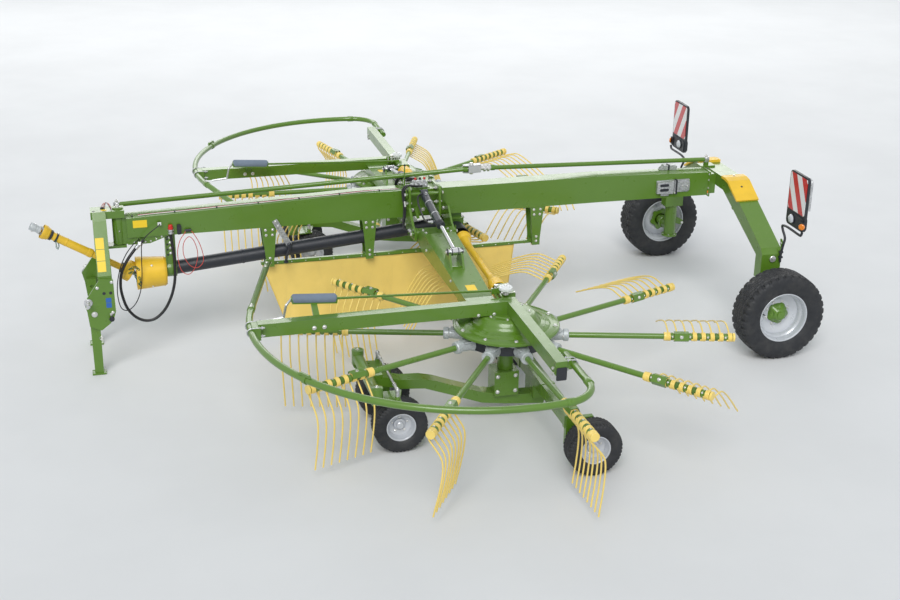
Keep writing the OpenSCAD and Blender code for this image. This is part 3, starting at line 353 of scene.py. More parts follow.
def lathe(profile, at, axis, sides=32, closed=False, turn=0.0, lobes=None):
    """Profile of (radius, height) turned about axis through at."""
    u, v, t = basis(axis)
    at = np.asarray(at, float)
    a = turn + np.arange(sides) * 2 * math.pi / sides
    verts = [at + t * h + (r * (lobes(r, ang) if lobes else 1)) * (math.cos(ang) * u + math.sin(ang) * v)
             for r, h in profile for ang in a]
    n = len(profile)
    faces = [(i % n * sides + k, i % n * sides + (k + 1) % sides, (i + 1) % n * sides + (k + 1) % sides,
              (i + 1) % n * sides + k) for i in range(n if closed else n - 1) for k in range(sides)]
    if not closed:
        faces += [tuple(range(sides - 1, -1, -1)), tuple((n - 1) * sides + k for k in range(sides))]
    return verts, faces


def bolt(at, axis, size=10, nut=False):
    """Washer and chamfered hexagon head, of that half width across its flats."""
    s = size
    verts, faces = lathe([(s * 1.5, 0), (s * 1.5, s * 0.22), (s * 1.2, s * 0.26)], at, axis, 24)
    head = lathe([(s * 1.15, s * 0.2), (s * 1.15, s * 0.95), (s * 0.92, s * 1.12), (s * 0.5, s * 1.12)],
                 at, axis, 6)
    parts = [(verts, faces), head]
    if nut:
        parts.append(lathe([(s * 0.5, s), (s * 0.5, s * 1.6), (s * 0.4, s * 1.7)], at, axis, 12))
    return merge(parts)


def merge(parts):
    verts, faces = [], []
    for v, f in parts:
        k = len(verts)
        verts += [tuple(p) for p in v]
        faces += [tuple(i + k for i in face) for face in f]
    return verts, faces


def prism(outline, plane, a, b):
    """Outline in (y, z), (x, z) or (x, y), given a thickness from a to b along X, Y or Z."""
    put = {"x": lambda q, h: (h, q[0], q[1]), "y": lambda q, h: (q[0], h, q[1]), "z": lambda q,
           h: (q[0], q[1], h)}[plane]
    area = sum(p[0] * q[1] - q[0] * p[1] for p, q in zip(outline, outline[1:] + outline[:1]))
    if (area > 0) == (plane == "y"):
        outline = outline[::-1]
    n = len(outline)
    a, b = min(a, b), max(a, b)
    verts = [put(q, a) for q in outline] + [put(q, b) for q in outline]
    faces = [tuple(range(n - 1, -1, -1)), tuple(range(n, 2 * n))]
    faces += [(k, (k + 1) % n, n + (k + 1) % n, n + k) for k in range(n)]
    return verts, faces


def block(a, b):
    return prism([(a[0], a[1]), (b[0], a[1]), (b[0], b[1]), (a[0], b[1])], "z", a[2], b[2])


def rounded(w, h, r, n=5):
    """Outline of a rectangle with rounded corners, about its middle."""
    return [(sx * (w / 2 - r) + r * math.cos(t), sy * (h / 2 - r) + r * math.sin(t))
            for sx, sy, t0 in ((1, 1, 0), (-1, 1, 90), (-1, -1, 180), (1, -1, 270))
            for t in [math.radians(t0 + 90 * k / n) for k in range(n + 1)]]


def moved(shape, matrix):
    return [tuple(matrix @ Vector(p)) for p in shape[0]], shape[1]


class Piece:
    """One mesh object that rides on a body; the right side mirrors the left."""

    def __init__(self, name, body, slot, *mats, side=1, bevel=0.0):
        self.name, self.body, self.slot, self.mats = name, body, slot, mats
        self.side, self.bevel = side, bevel
        self.verts, self.faces, self.index, self.flat = [], [], [], []

    def add(self, shape, mat=0, flat=False):
        k = len(self.verts)
        self.verts += [tuple(p) for p in shape[0]]
        self.faces += [tuple(i + k for i in f) for f in shape[1]]
        self.index += [mat] * len(shape[1])
        self.flat += [flat] * len(shape[1])
        return self

    def done(self, *replaced, smooth=32):
        mesh = bpy.data.meshes.new(self.name)
        verts = [(x, self.side * y, z) for x, y, z in self.verts]
        faces = self.faces if self.side > 0 else [f[::-1] for f in self.faces]
        mesh.from_pydata(verts, [], faces)
        mesh.transform(TO_ROW)
        for m in self.mats:
            mesh.materials.append(m)
        mesh.polygons.foreach_set("material_index", self.index)
        mesh.update()
        mesh.shade_smooth()
        mesh.set_sharp_from_angle(angle=math.radians(smooth))
        obj = bpy.data.objects.new(self.name, mesh)
        bpy.context.scene.collection.objects.link(obj)
        if self.bevel:
            mod = obj.modifiers.new("edges", "BEVEL")
            mod.width, mod.segments = self.bevel / 1000, 1
            mod.limit_method, mod.angle_limit = "ANGLE", math.radians(38)
            mod.harden_normals = True
        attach(obj, self.body)
        if replaced:
            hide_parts(*replaced)
        return obj


SIDES = (("left", 1), ("right", -1))


# CAMERA AND LIGHT

def make_camera():
    yaw, pitch, roll = (math.radians(a) for a in (15.496, 22.427, 0.764))
    look = Vector((-math.sin(yaw) * math.cos(pitch), -math.cos(yaw) * math.cos(pitch), -math.sin(pitch)))
    right = look.cross(Vector((0, 0, 1))).normalized()
    up = right.cross(look)
    r2 = right * math.cos(roll) + up * math.sin(roll)
    u2 = up * math.cos(roll) - right * math.sin(roll)
    data = bpy.data.cameras.new("camera")
    data.sensor_width, data.lens = 36, 55.56
    data.clip_end = 200
    cam = bpy.data.objects.new("camera", data)
    bpy.context.scene.collection.objects.link(cam)
    cam.matrix_world = Matrix(((r2.x, u2.x, -look.x, 2.958 - CENTRE_X / 1000),
                               (r2.y, u2.y, -look.y, 10.939),
                               (r2.z, u2.z, -look.z, 4.914), (0, 0, 0, 1)))
    bpy.context.scene.camera = cam


def area_light(name, at, aim, size, watts):
    data = bpy.data.lights.new(name, "AREA")
    data.shape, data.energy = "RECTANGLE", watts
    data.size, data.size_y = size
    lamp = bpy.data.objects.new(name, data)
    bpy.context.scene.collection.objects.link(lamp)
    lamp.location = at
    lamp.rotation_euler = (Vector(aim) - Vector(at)).to_track_quat("-Z", "Y").to_euler()
    lamp.visible_camera = False


def make_stage():
    make_camera()
    sun = bpy.data.lights.new("key", "SUN")
    sun.energy, sun.angle = 2.0, 0.6
    key = bpy.data.objects.new("key", sun)
    bpy.context.scene.collection.objects.link(key)
    key.rotation_euler = Vector((-3.5, -8, -8.5)).to_track_quat("-Z", "Y").to_euler()
    area_light("back", (-3, -16, 7.2), (0, 0, 0.9), (22, 5), 780)
    world = bpy.data.worlds.new("world")
    bpy.context.scene.world = world
    world.use_nodes = True
    tree = world.node_tree
    grey = tree.nodes["Background"]
    grey.inputs["Color"].default_value = (0.86, 0.93, 1, 1)
    grey.inputs["Strength"].default_value = 0.56
    white = tree.nodes.new("ShaderNodeBackground")
    white.inputs["Strength"].default_value = 1.0
    path = tree.nodes.new("ShaderNodeLightPath")
    seen = tree.nodes.new("ShaderNodeMath")
    seen.operation = "MAXIMUM"
    also = tree.nodes.new("ShaderNodeMath")
    also.operation = "MAXIMUM"
    mix = tree.nodes.new("ShaderNodeMixShader")
    tree.links.new(path.outputs["Is Camera Ray"], seen.inputs[0])
    tree.links.new(path.outputs["Is Glossy Ray"], seen.inputs[1])
    tree.links.new(seen.outputs[0], also.inputs[0])
    tree.links.new(path.outputs["Is Transmission Ray"], also.inputs[1])
    tree.links.new(also.outputs[0], mix.inputs["Fac"])
    tree.links.new(grey.outputs[0], mix.inputs[1])
    tree.links.new(white.outputs[0], mix.inputs[2])
    tree.links.new(mix.outputs[0], tree.nodes["World Output"].inputs["Surface"])
    n = Nodes("floor_pale")
    n.bump((n.noise(30, 4), 0.0004))
    n.set(base_color=n.mix(n.span(n.noise(0.7, 4), 0.3, 0.7, 0, 1), (0.70, 0.70, 0.695),
                           (0.73, 0.73, 0.725)),
          roughness=n.span(n.noise(3, 3), 0.3, 0.7, 0.75, 0.9))
    mesh = bpy.data.meshes.new("floor")
    mesh.from_pydata([(-60, -60, 0), (60, -60, 0), (60, 60, 0), (-60, 60, 0)], [], [(0, 1, 2, 3)])
    mesh.materials.append(n.mat)
    floor = bpy.data.objects.new("floor", mesh)
    floor.location.z = -0.001
    bpy.context.scene.collection.objects.link(floor)
    scene = bpy.context.scene
    scene.view_settings.view_transform = "Standard"


# CORDS

HOSE = [(2590, 100, 988), (2612, 104, 966), (2674, 122, 890), (2725, 126, 790), (2742, 126, 690),
        (2736, 126, 595), (2704, 120, 475), (2640, 112, 385), (2560, 106, 342), (2478, 102, 354),
        (2398, 100, 428), (2338, 100, 545), (2305, 100, 675), (2298, 100, 805), (2300, 100, 915),
        (2308, 100, 1000), (2312, 100, 1050), (2312, 100, 1084)]
CABLE = [(2398, 106, 1175), (2398, 124, 1175), (2410, 144, 1170), (2430, 152, 1158), (2470, 154, 1130),
         (2520, 152, 1085), (2550, 152, 1034), (2560, 152, 920), (2568, 152, 758), (2590, 152, 619),
         (2636, 150, 517), (2700, 150, 466), (2752, 152, 494), (2772, 152, 600), (2764, 152, 720),
         (2730, 150, 850), (2680, 144, 950), (2636, 134, 1005), (2600, 124, 1040), (2578, 114, 1052),
         (2570, 98, 1056), (2570, 82, 1056)]
ROPE = [(2190, 82, 1100), (2190, 96, 1100), (2204, 112, 1080), (2245, 118, 1020), (2270, 118, 910),
        (2250, 118, 770), (2192, 118, 724), (2138, 118, 775), (2108, 118, 890), (2128, 118, 1000),
        (2170, 118, 1050), (2216, 124, 1000), (2222, 130, 900), (2180, 130, 810), (2120, 130, 780),
        (2072, 130, 820), (2066, 130, 890), (2090, 124, 990), (2130, 112, 1070), (2152, 98, 1096),
        (2152, 82, 1096)]


def cord(name, node, route, r, slot, mat):
    path = smooth_path(route, 7)
    piece = Piece(name, "frame", slot, mat)
    piece.add(tube(path, r, 12))
    obj = piece.done(node)
    line = [tuple(TO_ROW @ Vector(p)) for p in path]
    length = sum((Vector(b) - Vector(a)).length for a, b in zip(line, line[1:]))
    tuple(line[0])
    return obj


def make_cords():
    cord("hydraulic_hose_loop", "hydraulic_hose", HOSE, 12, "hose_rubber", m_hose)
    cord("signal_cable", "cable", CABLE, 4, "cable_sheath", m_cable)
    cord("red_pull_rope", "red_rope", ROPE, 3, "rope_fibre", m_rope)


# SWATH CURTAIN

def make_curtain():
    """A sheet with a turned hem, hung from its rail and a little wavy towards its free lower edge."""
    top, low, z0, z1 = (-650.0, 1570.0), (-590.0, 1380.0), 712.0, 150.0
    nx, nz = 120, 30
    verts, faces = [], []
    for j in range(nz + 1):
        s = j / nz
        for i in range(nx + 1):
            t = i / nx
            x = (top[0] + (top[1] - top[0]) * t) * (1 - s) + (low[0] + (low[1] - low[0]) * t) * s
            wave = s ** 1.3 * (16 * math.sin(x / 165 + 0.6) + 9 * math.sin(x / 71 + 2.1 * s) + 5
                               * math.sin(x / 39))
            pull = 3.5 * (1 - s) ** 3 * math.cos(x / 47)
            verts.append((x, wave + pull, z0 + (z1 - z0) * s + 6 * s * math.sin(x / 210)))
    for j in range(nz):
        for i in range(nx):
            a = j * (nx + 1) + i
            faces.append((a, a + 1, a + nx + 2, a + nx + 1))
    sheet = Piece("curtain_cloth", "frame", "curtain_sheet",
                  m_curtain).add((verts, faces)).done("curtain", smooth=80)
    mod = sheet.modifiers.new("thickness", "SOLIDIFY")
    mod.thickness, mod.offset = 0.003, 0
    # The hem runs round the sides and the lower edge
    edge = [verts[j * (nx + 1)] for j in range(nz + 1)] + [verts[nz * (nx + 1) + i]
                                                           for i in range(1, nx + 1)]
    edge += [verts[j * (nx + 1) + nx] for j in range(nz - 1, -1, -1)]
    hem = Piece("curtain_hem", "frame", "curtain_sheet", m_hem)
    hem.add(tube(edge, 3.2, 8))
    for s in (-1, 1):
        hem.add(tube([(x, y + s * 2.6, z + 26) for x, y, z in edge[nz:nz + nx + 1:1]], 0.9, 4))
    hem_obj = hem.done()
    strip = Piece("curtain_top_strip", "frame", "green_paint", m_green, m_bolt, bevel=1.2)
    for s in (-1, 1):
        strip.add(block((-640, s * 6 if s > 0 else -10, 706), (1560, s * 10 if s > 0 else -6, 737)))
        for x in range(-600, 1560, 120):
            strip.add(bolt((x, s * 10, 722), (0, s, 0), 5), 1)
    strip.done()


# WHEELS

def tyre_mesh(r, w, rim, n, tread):
    """Carcass grid with the tread cut into it by tread(angle, y) in millimetres of depth."""
    h = r - rim
    half = [(rim, -0.36), (rim + 5, -0.405), (rim + h * 0.12, -0.44), (rim + h * 0.3, -0.482),
            (rim + h * 0.5, -0.5),
            (rim + h * 0.66, -0.497), (r - h * 0.22, -0.482), (r - h * 0.14, -0.462), (r - h * 0.08, -0.44),
            (r - h * 0.04, -0.41), (r - h * 0.022, -0.37)]
    flat = np.linspace(-0.34, 0.34, 25)
    profile = [(a, b * w) for a, b in half]
    profile += [(r - h * 0.016 * (y / 0.34) ** 2, y * w) for y in flat]
    profile += [(a, -b * w) for a, b in half[::-1]]
    verts = []
    for k in range(n):
        ang = 2 * math.pi * k / n
        for rad, y in profile:
            cut = tread(ang, y, rad)
            verts.append(((rad - cut) * math.cos(ang), y, (rad - cut) * math.sin(ang)))
    m = len(profile)
    faces = [(k * m + i, k * m + i + 1, (k + 1) % n * m + i + 1, (k + 1) % n * m + i)
             for k in range(n) for i in range(m - 1)]
    return verts, faces


def rear_tread(ang, y, rad):
    """Implement tyre: zigzag grooves round the middle, wide lugs across the shoulders."""
    if rad < 376 - 34:
        return 1.5 if 252 < rad < 262 else 0.0
    pitch = 2 * math.pi / 34
    u = (ang / pitch + (0.5 if y > 0 else 0)) % 1
    a = abs(y)
    cut = 0.0
    if a > 72:
        lean = u + (a - 72) / 260
        if lean % 1 < 0.36:
            cut = 11.0 if a < 112 else 8.0
    for c in (0, 34, 68):
        wave = c + 5 * math.sin(2 * math.pi * u * 1)
        if abs(a - wave) < 3.4:
            cut = max(cut, 8.0)
    if a < 66 and (u * 2 + a / 60) % 1 < 0.12:
        cut = max(cut, 4.0)
    return cut


def small_tread(ang, y, rad):
    """Turf tyre: straight ribs with blocks at the shoulders."""
    if rad < 203 - 22:
        return 1.0 if 141 < rad < 147 else 0.0
    pitch = 2 * math.pi / 44
    u = (ang / pitch + (0.5 if y > 0 else 0)) % 1
    a = abs(y)
    cut = 0.0
    if a > 42 and u < 0.3:
        cut = 6.0
    for c in (7, 26, 42):
        if abs(a - c) < 2.6:
            cut = 6.0
    return cut


def place_wheel(shape, x, y, z, flip):
    f = -1 if flip else 1
    verts = [(x + p[0], y + f * p[1], z + p[2]) for p in shape[0]]
    faces = shape[1] if f > 0 else [q[::-1] for q in shape[1]]
    return verts, faces


def rear_rim_shape():
    """Stepped rim about its own axis, with the dish on the outside (+Y)."""
    loop = [(216, 107), (216, 101), (209.7, 94), (209.7, -94), (216, -101), (216, -107), (210, -109),
            (203, -103), (202, -82), (190, -74), (178, -54), (176, 0), (176, 22), (184, 40), (196, 52),
            (200, 78), (202, 100), (208, 108), (214, 109)]
    return lathe(loop, (0, 0, 0), (0, 1, 0), 96, closed=True)


def make_rear_wheels():
    tyre = tyre_mesh(376, 260, 210, 34 * 10, rear_tread)
    for side, s in SIDES:
        body = f"rear_wheel_{side}"
        Piece(f"rear_tyre_tread_{side}", body, "tyre_rubber", m_tyre, side=s).add(
            place_wheel(tyre, -2593, 1268, 376, True)).done(f"rear_tyre_{side}", smooth=28)
        rim = Piece(f"rear_rim_dished_{side}", body, "rim_silver", m_silver, m_green, m_bolt, m_hose,
                    side=s, bevel=0.8)
        at = (-2593, 1268, 376)
        parts = [rear_rim_shape()]
        # Disc with its step, then the boss that it bolts to
        parts.append(lathe([(177, -4), (170, -10), (150, -14), (128, -30), (112, -32), (80, -24), (78, -8),
                            (112, -20),
                            (124, -18), (146, -2), (168, 4), (177, 6)], (0, 0, 0), (0, 1, 0), 72,
                           closed=True))
        for p in parts:
            rim.add(place_wheel(p, *at, False))
        for k in range(8):
            a = 2 * math.pi * (k + 0.5) / 8
            rim.add(bolt((at[0] + 102 * math.cos(a), at[1] - 21, at[2] + 102 * math.sin(a)), (0, 1, 0), 11,
                         True), 2)
        rim.add(lathe([(88, -26), (88, 0), (80, 12), (62, 22), (52, 42), (44, 48), (20, 50), (0.5, 50)],
                      at, (0, 1, 0), 60,
                      lobes=lambda r, ang: 1 + (0.1 * math.cos(5 * ang) if 55 < r < 90 else 0)), 1)
        for k in range(5):
            a = 2 * math.pi * k / 5
            rim.add(bolt((at[0] + 74 * math.cos(a), at[1] + 8, at[2] + 74 * math.sin(a)), (0, 1, 0), 6), 1)
        valve = [(at[0] + 168, at[1] + 20, at[2] + 20), (at[0] + 160, at[1] + 45, at[2] + 20),
                 (at[0] + 150, at[1] + 62, at[2] + 20)]
        rim.add(tube(valve, [5, 5, 4], 10), 3)
        # Green star plate of the hub on the inside
        rim.add(lathe([(96, -48), (96, -34), (60, -34), (60, -48)], at, (0, 1, 0), 60,
                      lobes=lambda r, ang: 1 + (0.14 * math.cos(6 * ang) if r > 90 else 0)), 1)
        rim.done(f"rear_rim_{side}")


def make_small_wheels():
    tyre = tyre_mesh(203, 165, 105, 44 * 5, small_tread)
    rim_loop = [(110, 67), (110, 63), (104.7, 59), (104.7, -59), (110, -63), (110, -67), (105, -69),
                (99, -64), (97, -48), (86, -38), (84, 0), (84, 26), (92, 40), (98, 50), (99, 62), (104, 68)]
    rim_shape = lathe(rim_loop, (0, 0, 0), (0, 1, 0), 64, closed=True)
    disc = lathe([(85, 16), (70, 10), (52, 6), (42, -2), (42, -10), (54, -4), (72, 0), (85, 6)], (0, 0, 0),
                 (0, 1, 0), 48,
                 closed=True)
    hub = lathe([(43, -30), (43, 10), (30, 14), (28, 34), (22, 40), (1, 41)], (0, 0, 0), (0, 1, 0), 32)
    for side, s in SIDES:
        for name, x, y in (("front_wheel_out", 889, 283), ("front_wheel_in", 889, -283),
                           ("back_wheel_out", -366, 948),
                           ("back_wheel_in", -366, -948)):
            flip = y < 0
            at = (x, 1854 + y, 203)
            piece = Piece(f"{name}_dressed_{side}", f"{name}_{side}", "tyre_rubber", m_tyre, m_silver,
                          m_bolt, m_hose,
                          side=s)
            piece.add(place_wheel(tyre, *at, flip))
            for shape in (rim_shape, disc, hub):
                piece.add(place_wheel(shape, *at, flip), 1)
            for k in range(5):
                a = 2 * math.pi * k / 5 + 0.3
                out = -1 if flip else 1
                piece.add(bolt((x + 60 * math.cos(a), at[1] + out * 6, 203 + 60 * math.sin(a)),
                               (0, out, 0), 7), 2)
            piece.done(f"{name}_{side}", smooth=28)


# TINES AND ARMS

ARM_Z, ROTOR_Y, COILS, PITCH, FIRST = 706, 1854, 8, 66, 1214
PHASE = {"left": 20.2, "right": 2.7}


def arm_roll(deg):
    t = deg % 360
    step = lambda x: 0 if x < 0 else 1 if x > 1 else x * x * (3 - 2 * x)
    return 76 * step((t - 80) / 72) * (1 - step((t - 240) / 65))


def tine_line():
    """Wire of one tine as (along arm, across, up): turns round the arm, then a long double curve."""
    turns, r = 3.2, 29.0
    end = math.radians(205)
    coil = [(-17 + 34 * k / 44, r * math.cos(end - 2 * math.pi * turns * (1 - k / 44)),
             r * math.sin(end - 2 * math.pi * turns * (1 - k / 44))) for k in range(45)]
    free = smooth_path([coil[-1], (17, -14, -52), (14, 22, -104), (8, 70, -190), (3, 73, -300),
                        (1, 48, -460), (0, 26, -560), (0, 12, -628)], 4)
    return np.array(coil + [tuple(p) for p in free[1:]])


def make_tines():
    line = tine_line()
    for side, s in SIDES:
        wires = Piece(f"tine_wires_{side}", f"rotor_{side}", "yellow_wire", m_wire, side=s)
        arms = Piece(f"tine_arms_{side}", f"rotor_{side}", "green_paint", m_green, m_bolt, m_dark_green_and_shade, m_wire,
                     side=s, bevel=0.8)
        for k in range(10):
            deg = PHASE[side] + 36 * k
            place = (Matrix.Translation((0, ROTOR_Y, ARM_Z)) @ Matrix.Rotation(math.radians(deg), 4, "Z")
                     @ Matrix.Rotation(math.radians(arm_roll(deg)), 4, "X"))
            for i in range(COILS):
                bend = 1 + 0.02 * math.sin(3.7 * i + 1.3 * k)
                path = [tuple(place @ Vector((FIRST + PITCH * i + p[0], p[1] * (bend if p[2] < -60 else 1),
                                              p[2]))) for p in line]
                wires.add(tube(path, 6.2, 7))
            # Tube, spacers between the coils, end cap, and the folded plate over the second and third tine.
            # The even spacers between the ends take the dark green paint as painted shade between the
            # coils; the odd ones are green and the two end ones yellow.
            arms.add(moved(rod((340.5, 0, 0), (1714, 0, 0), 21.9, 24, 2), place))
            for i in range(COILS + 1):
                x = FIRST + PITCH * (i - 0.5)
                if i == 0:
                    x += 12
                end = i in (0, COILS)
                # Material 2, the dark green, on the even spacers is painted shade between the coils
                arms.add(moved(rod((x - 10, 0, 0), (x + (7 if i == COILS else 10), 0, 0),
                                   33 if end else 29, 24, 2), place), 3 if end else 2 - i % 2 * 2)
                if i % 2 and not end:
                    arms.add(moved(bolt((x, 0, 28.5), (0, 0, 1), 5), place), 1)
            plate = [(-40, 3), (-28, 39.5), (28, 39.5), (40, 3), (36, 3), (26, 36), (-26, 36), (-36, 3)]
            x0 = FIRST + PITCH * 0.5 + 11
            arms.add(moved(prism(plate, "x", x0, x0 + PITCH * 2 - 22), place))
            arms.add(moved(bolt((x0 + PITCH - 11, 0, 39), (0, 0, 1), 9), place), 1)
            arms.add(moved(rod((1697, 0, 0), (1713.5, 0, 0), 24, 24, 3), place))
        wires.done(f"tines_{side}", smooth=60)
        arms.done(f"rotor_arms_{side}")


# WARNING BOARDS

def striped_board():
    """Red and white reflective sheet with slanted stripes, mirrored from side to side."""
    n = Nodes("board_stripes")
    split = n.new("ShaderNodeSeparateXYZ")
    n.join(n.where, split.inputs[0])
    across = n.math("ABSOLUTE", split.outputs["Y"])
    slant = n.math("ADD", n.math("MULTIPLY", across, 1.9), split.outputs["Z"])
    wave = n.math("FRACT", n.math("MULTIPLY", slant, 1 / 0.31))
    share = n.math("GREATER_THAN", wave, 0.5)
    cells = n.new("ShaderNodeTexVoronoi")
    cells.inputs["Scale"].default_value = 420
    n.join(n.where, cells.inputs["Vector"])
    n.bump((cells.outputs["Distance"], 0.00015))
    return n.set(base_color=n.mix(share, srgb(236, 236, 236), srgb(204, 30, 34)), roughness=0.28,
                 coat_weight=0.6,
                 coat_roughness=0.08)


def make_boards():
    m_stripes = striped_board()
    for side, s in SIDES:
        board = Piece(f"warning_board_{side}", "frame", "board_paint", m_black, m_stripes, m_clear,
                      m_orange, m_red_lens,
                      m_zinc, side=s, bevel=2)
        cy, cz, w, h = 1182.5, 1333, 301, 466
        frame_line = [(cy + y, cz + z) for y, z in rounded(w, h, 38, 6)]
        board.add(prism(frame_line, "x", -2729, -2707))
        for x0, x1 in ((-2733, -2728.5), (-2707.5, -2703)):
            board.add(prism([(cy + y, cz + 62 + z) for y, z in rounded(w - 26, 312, 16, 4)], "x", x0, x1),
                      1)
        # Lower panel with its lamps: clear in front, red and orange behind, orange at the side
        board.add(prism([(cy + y, cz - 168 + z) for y, z in rounded(w - 34, 110, 24, 4)], "x", -2744,
                        -2700))
        board.add(lathe([(36, 0), (38, 4), (38, 10), (30, 20), (16, 25), (1, 26)],
                        (-2700, cy - 40, cz - 165), (1, 0, 0), 32), 2)
        board.add(lathe([(42, 0), (42, 8), (36, 12)], (-2702, cy - 40, cz - 165), (1, 0, 0), 32))
        for dy, m in ((-52, 4), (10, 4), (66, 3)):
            board.add(lathe([(28, 0), (28, 8), (22, 14), (1, 16)], (-2744, cy + dy, cz - 168), (-1, 0, 0),
                            28), m)
        board.add(lathe([(26, 0), (26, 8), (20, 13), (1, 15)], (-2692, cy + w / 2 - 6, cz - 176),
                        (0.75, 0.66, 0), 28), 3)
        board.add(prism([(cy + w / 2 - 44, cz - 214), (cy + w / 2 + 2, cz - 208),
                         (cy + w / 2 + 2, cz - 140), (cy + w / 2 - 44, cz - 132)],
                        "x", -2728, -2690))
        rail = smooth_path([(-2738, cy + 60, cz + 219), (-2738, cy + 118, cz + 214),
                            (-2738, cy + 146, cz + 196),
                            (-2738, cy + 148, cz + 120), (-2738, cy + 148, cz - 40)], 6)
        board.add(tube(rail, 12, 12), 5)
        # Bent tube from the arch
        arm = smooth_path([(-2697, 1332, 1108), (-2697, 1322, 1084), (-2697, 1290, 1074),
                           (-2697, 1100, 1076), (-2697, 1020, 1066), (-2698, 1004, 1050),
                           (-2700, 1018, 1020), (-2702, 1060, 965), (-2690, 1064, 900), (-2677, 1064, 815),
                           (-2677, 1064, 755)], 6)
        board.add(tube(arm, 10.5, 14))
        for z in (800, 845):
            board.add(block((-2692, 1050, z - 8), (-2662, 1078, z + 8)))
        board.done(*(["warning_boards"] if s > 0 else []))


# SHARED SMALL SHAPES

def plate(at, u, v, t):
    """Flat plate from a corner along u and v, raised by t along their normal."""
    at, u, v = (np.asarray(q, float) for q in (at, u, v))
    n = np.cross(u, v)
    n *= t / np.linalg.norm(n)
    low = [at, at + u, at + u + v, at + v]
    return [tuple(q) for q in low] + [tuple(q + n) for q in low], [(3, 2, 1, 0), (4, 5, 6, 7),
                                                                   (0, 1, 5, 4), (1, 2, 6, 5),
                                                                   (2, 3, 7, 6), (3, 0, 4, 7)]


def ring(at, axis, big, small, sides=40):
    """Torus of wire radius small."""
    a = np.arange(10) * 2 * math.pi / 10
    return lathe([(big + small * math.cos(t), small * math.sin(t)) for t in a], at, axis, sides,
                 closed=True)


def chain(path, wire=3.2, length=34):
    """Links along a path, each turned a quarter from the last."""
    path = np.asarray(path, float)
    steps = np.linalg.norm(np.diff(path, axis=0), axis=1)
    where = np.concatenate([[0], np.cumsum(steps)])
    count = int(where[-1] // (length - 3 * wire))
    links = []
    for k in range(count):
        s0 = (k + 0.5) * where[-1] / count
        p = np.array([np.interp(s0, where, path[:, i]) for i in range(3)])
        q = np.array([np.interp(min(s0 + 4, where[-1]), where, path[:, i]) for i in range(3)])
        t = (q - p) / np.linalg.norm(q - p)
        side = np.cross(t, (0.31, 0.9, 0.3) if k % 2 else (0.9, -0.2, 0.38))
        side /= np.linalg.norm(side)
        half, wide = length / 2 - wire, wire * 2.1
        loop = [p + t * (half * math.cos(b)) + side * (wide * math.sin(b)) for b in np.arange(14) * 2
                * math.pi / 14]
        loop.append(loop[0])
        links.append(tube(np.array(loop), wire, 6, caps=False))
    return merge(links)


def fitting(at, axis, r, length, hexes=((0.15, 0.4),)):
    """Hydraulic fitting: a sleeve with hexagon collars at the given shares of its length."""
    axis = np.asarray(axis, float) / np.linalg.norm(axis)
    at = np.asarray(at, float)
    parts = [rod(at, at + axis * length, r, 20, 1)]
    for a, b in hexes:
        parts.append(lathe([(r * 1.35, a * length), (r * 1.5, a * length + 1), (r * 1.5, b * length - 1),
                            (r * 1.35, b * length)],
                           at, axis, 6))
    return merge(parts)


def u_bolt(at, along, out, r, wire, legs):
    """Half ring round a tube that runs along, with two threaded legs and nuts on the side of -out."""
    at, along, out = (np.asarray(q, float) for q in (at, along, out))
    along, out = along / np.linalg.norm(along), out / np.linalg.norm(out)
    side = np.cross(along, out)
    arc = [at + side * (r * math.cos(t)) + out * (r * math.sin(t)) for t in np.linspace(0, math.pi, 17)]
    path = [arc[0] - out * legs] + arc + [arc[-1] - out * legs]
    parts = [tube(np.array(path), wire, 10)]
    for end in (path[0], path[-1]):
        parts.append(lathe([(wire * 1.9, 0), (wire * 2.05, 1), (wire * 2.05, wire * 1.5),
                            (wire * 1.8, wire * 1.7)],
                           end + out * wire * 4.2, -out, 6))
        parts.append(lathe([(wire * 2.4, 0), (wire * 2.4, 2)], end + out * wire * 4.4, -out, 20))
    return merge(parts)


# HEADSTOCK AND DRIVING SHAFT

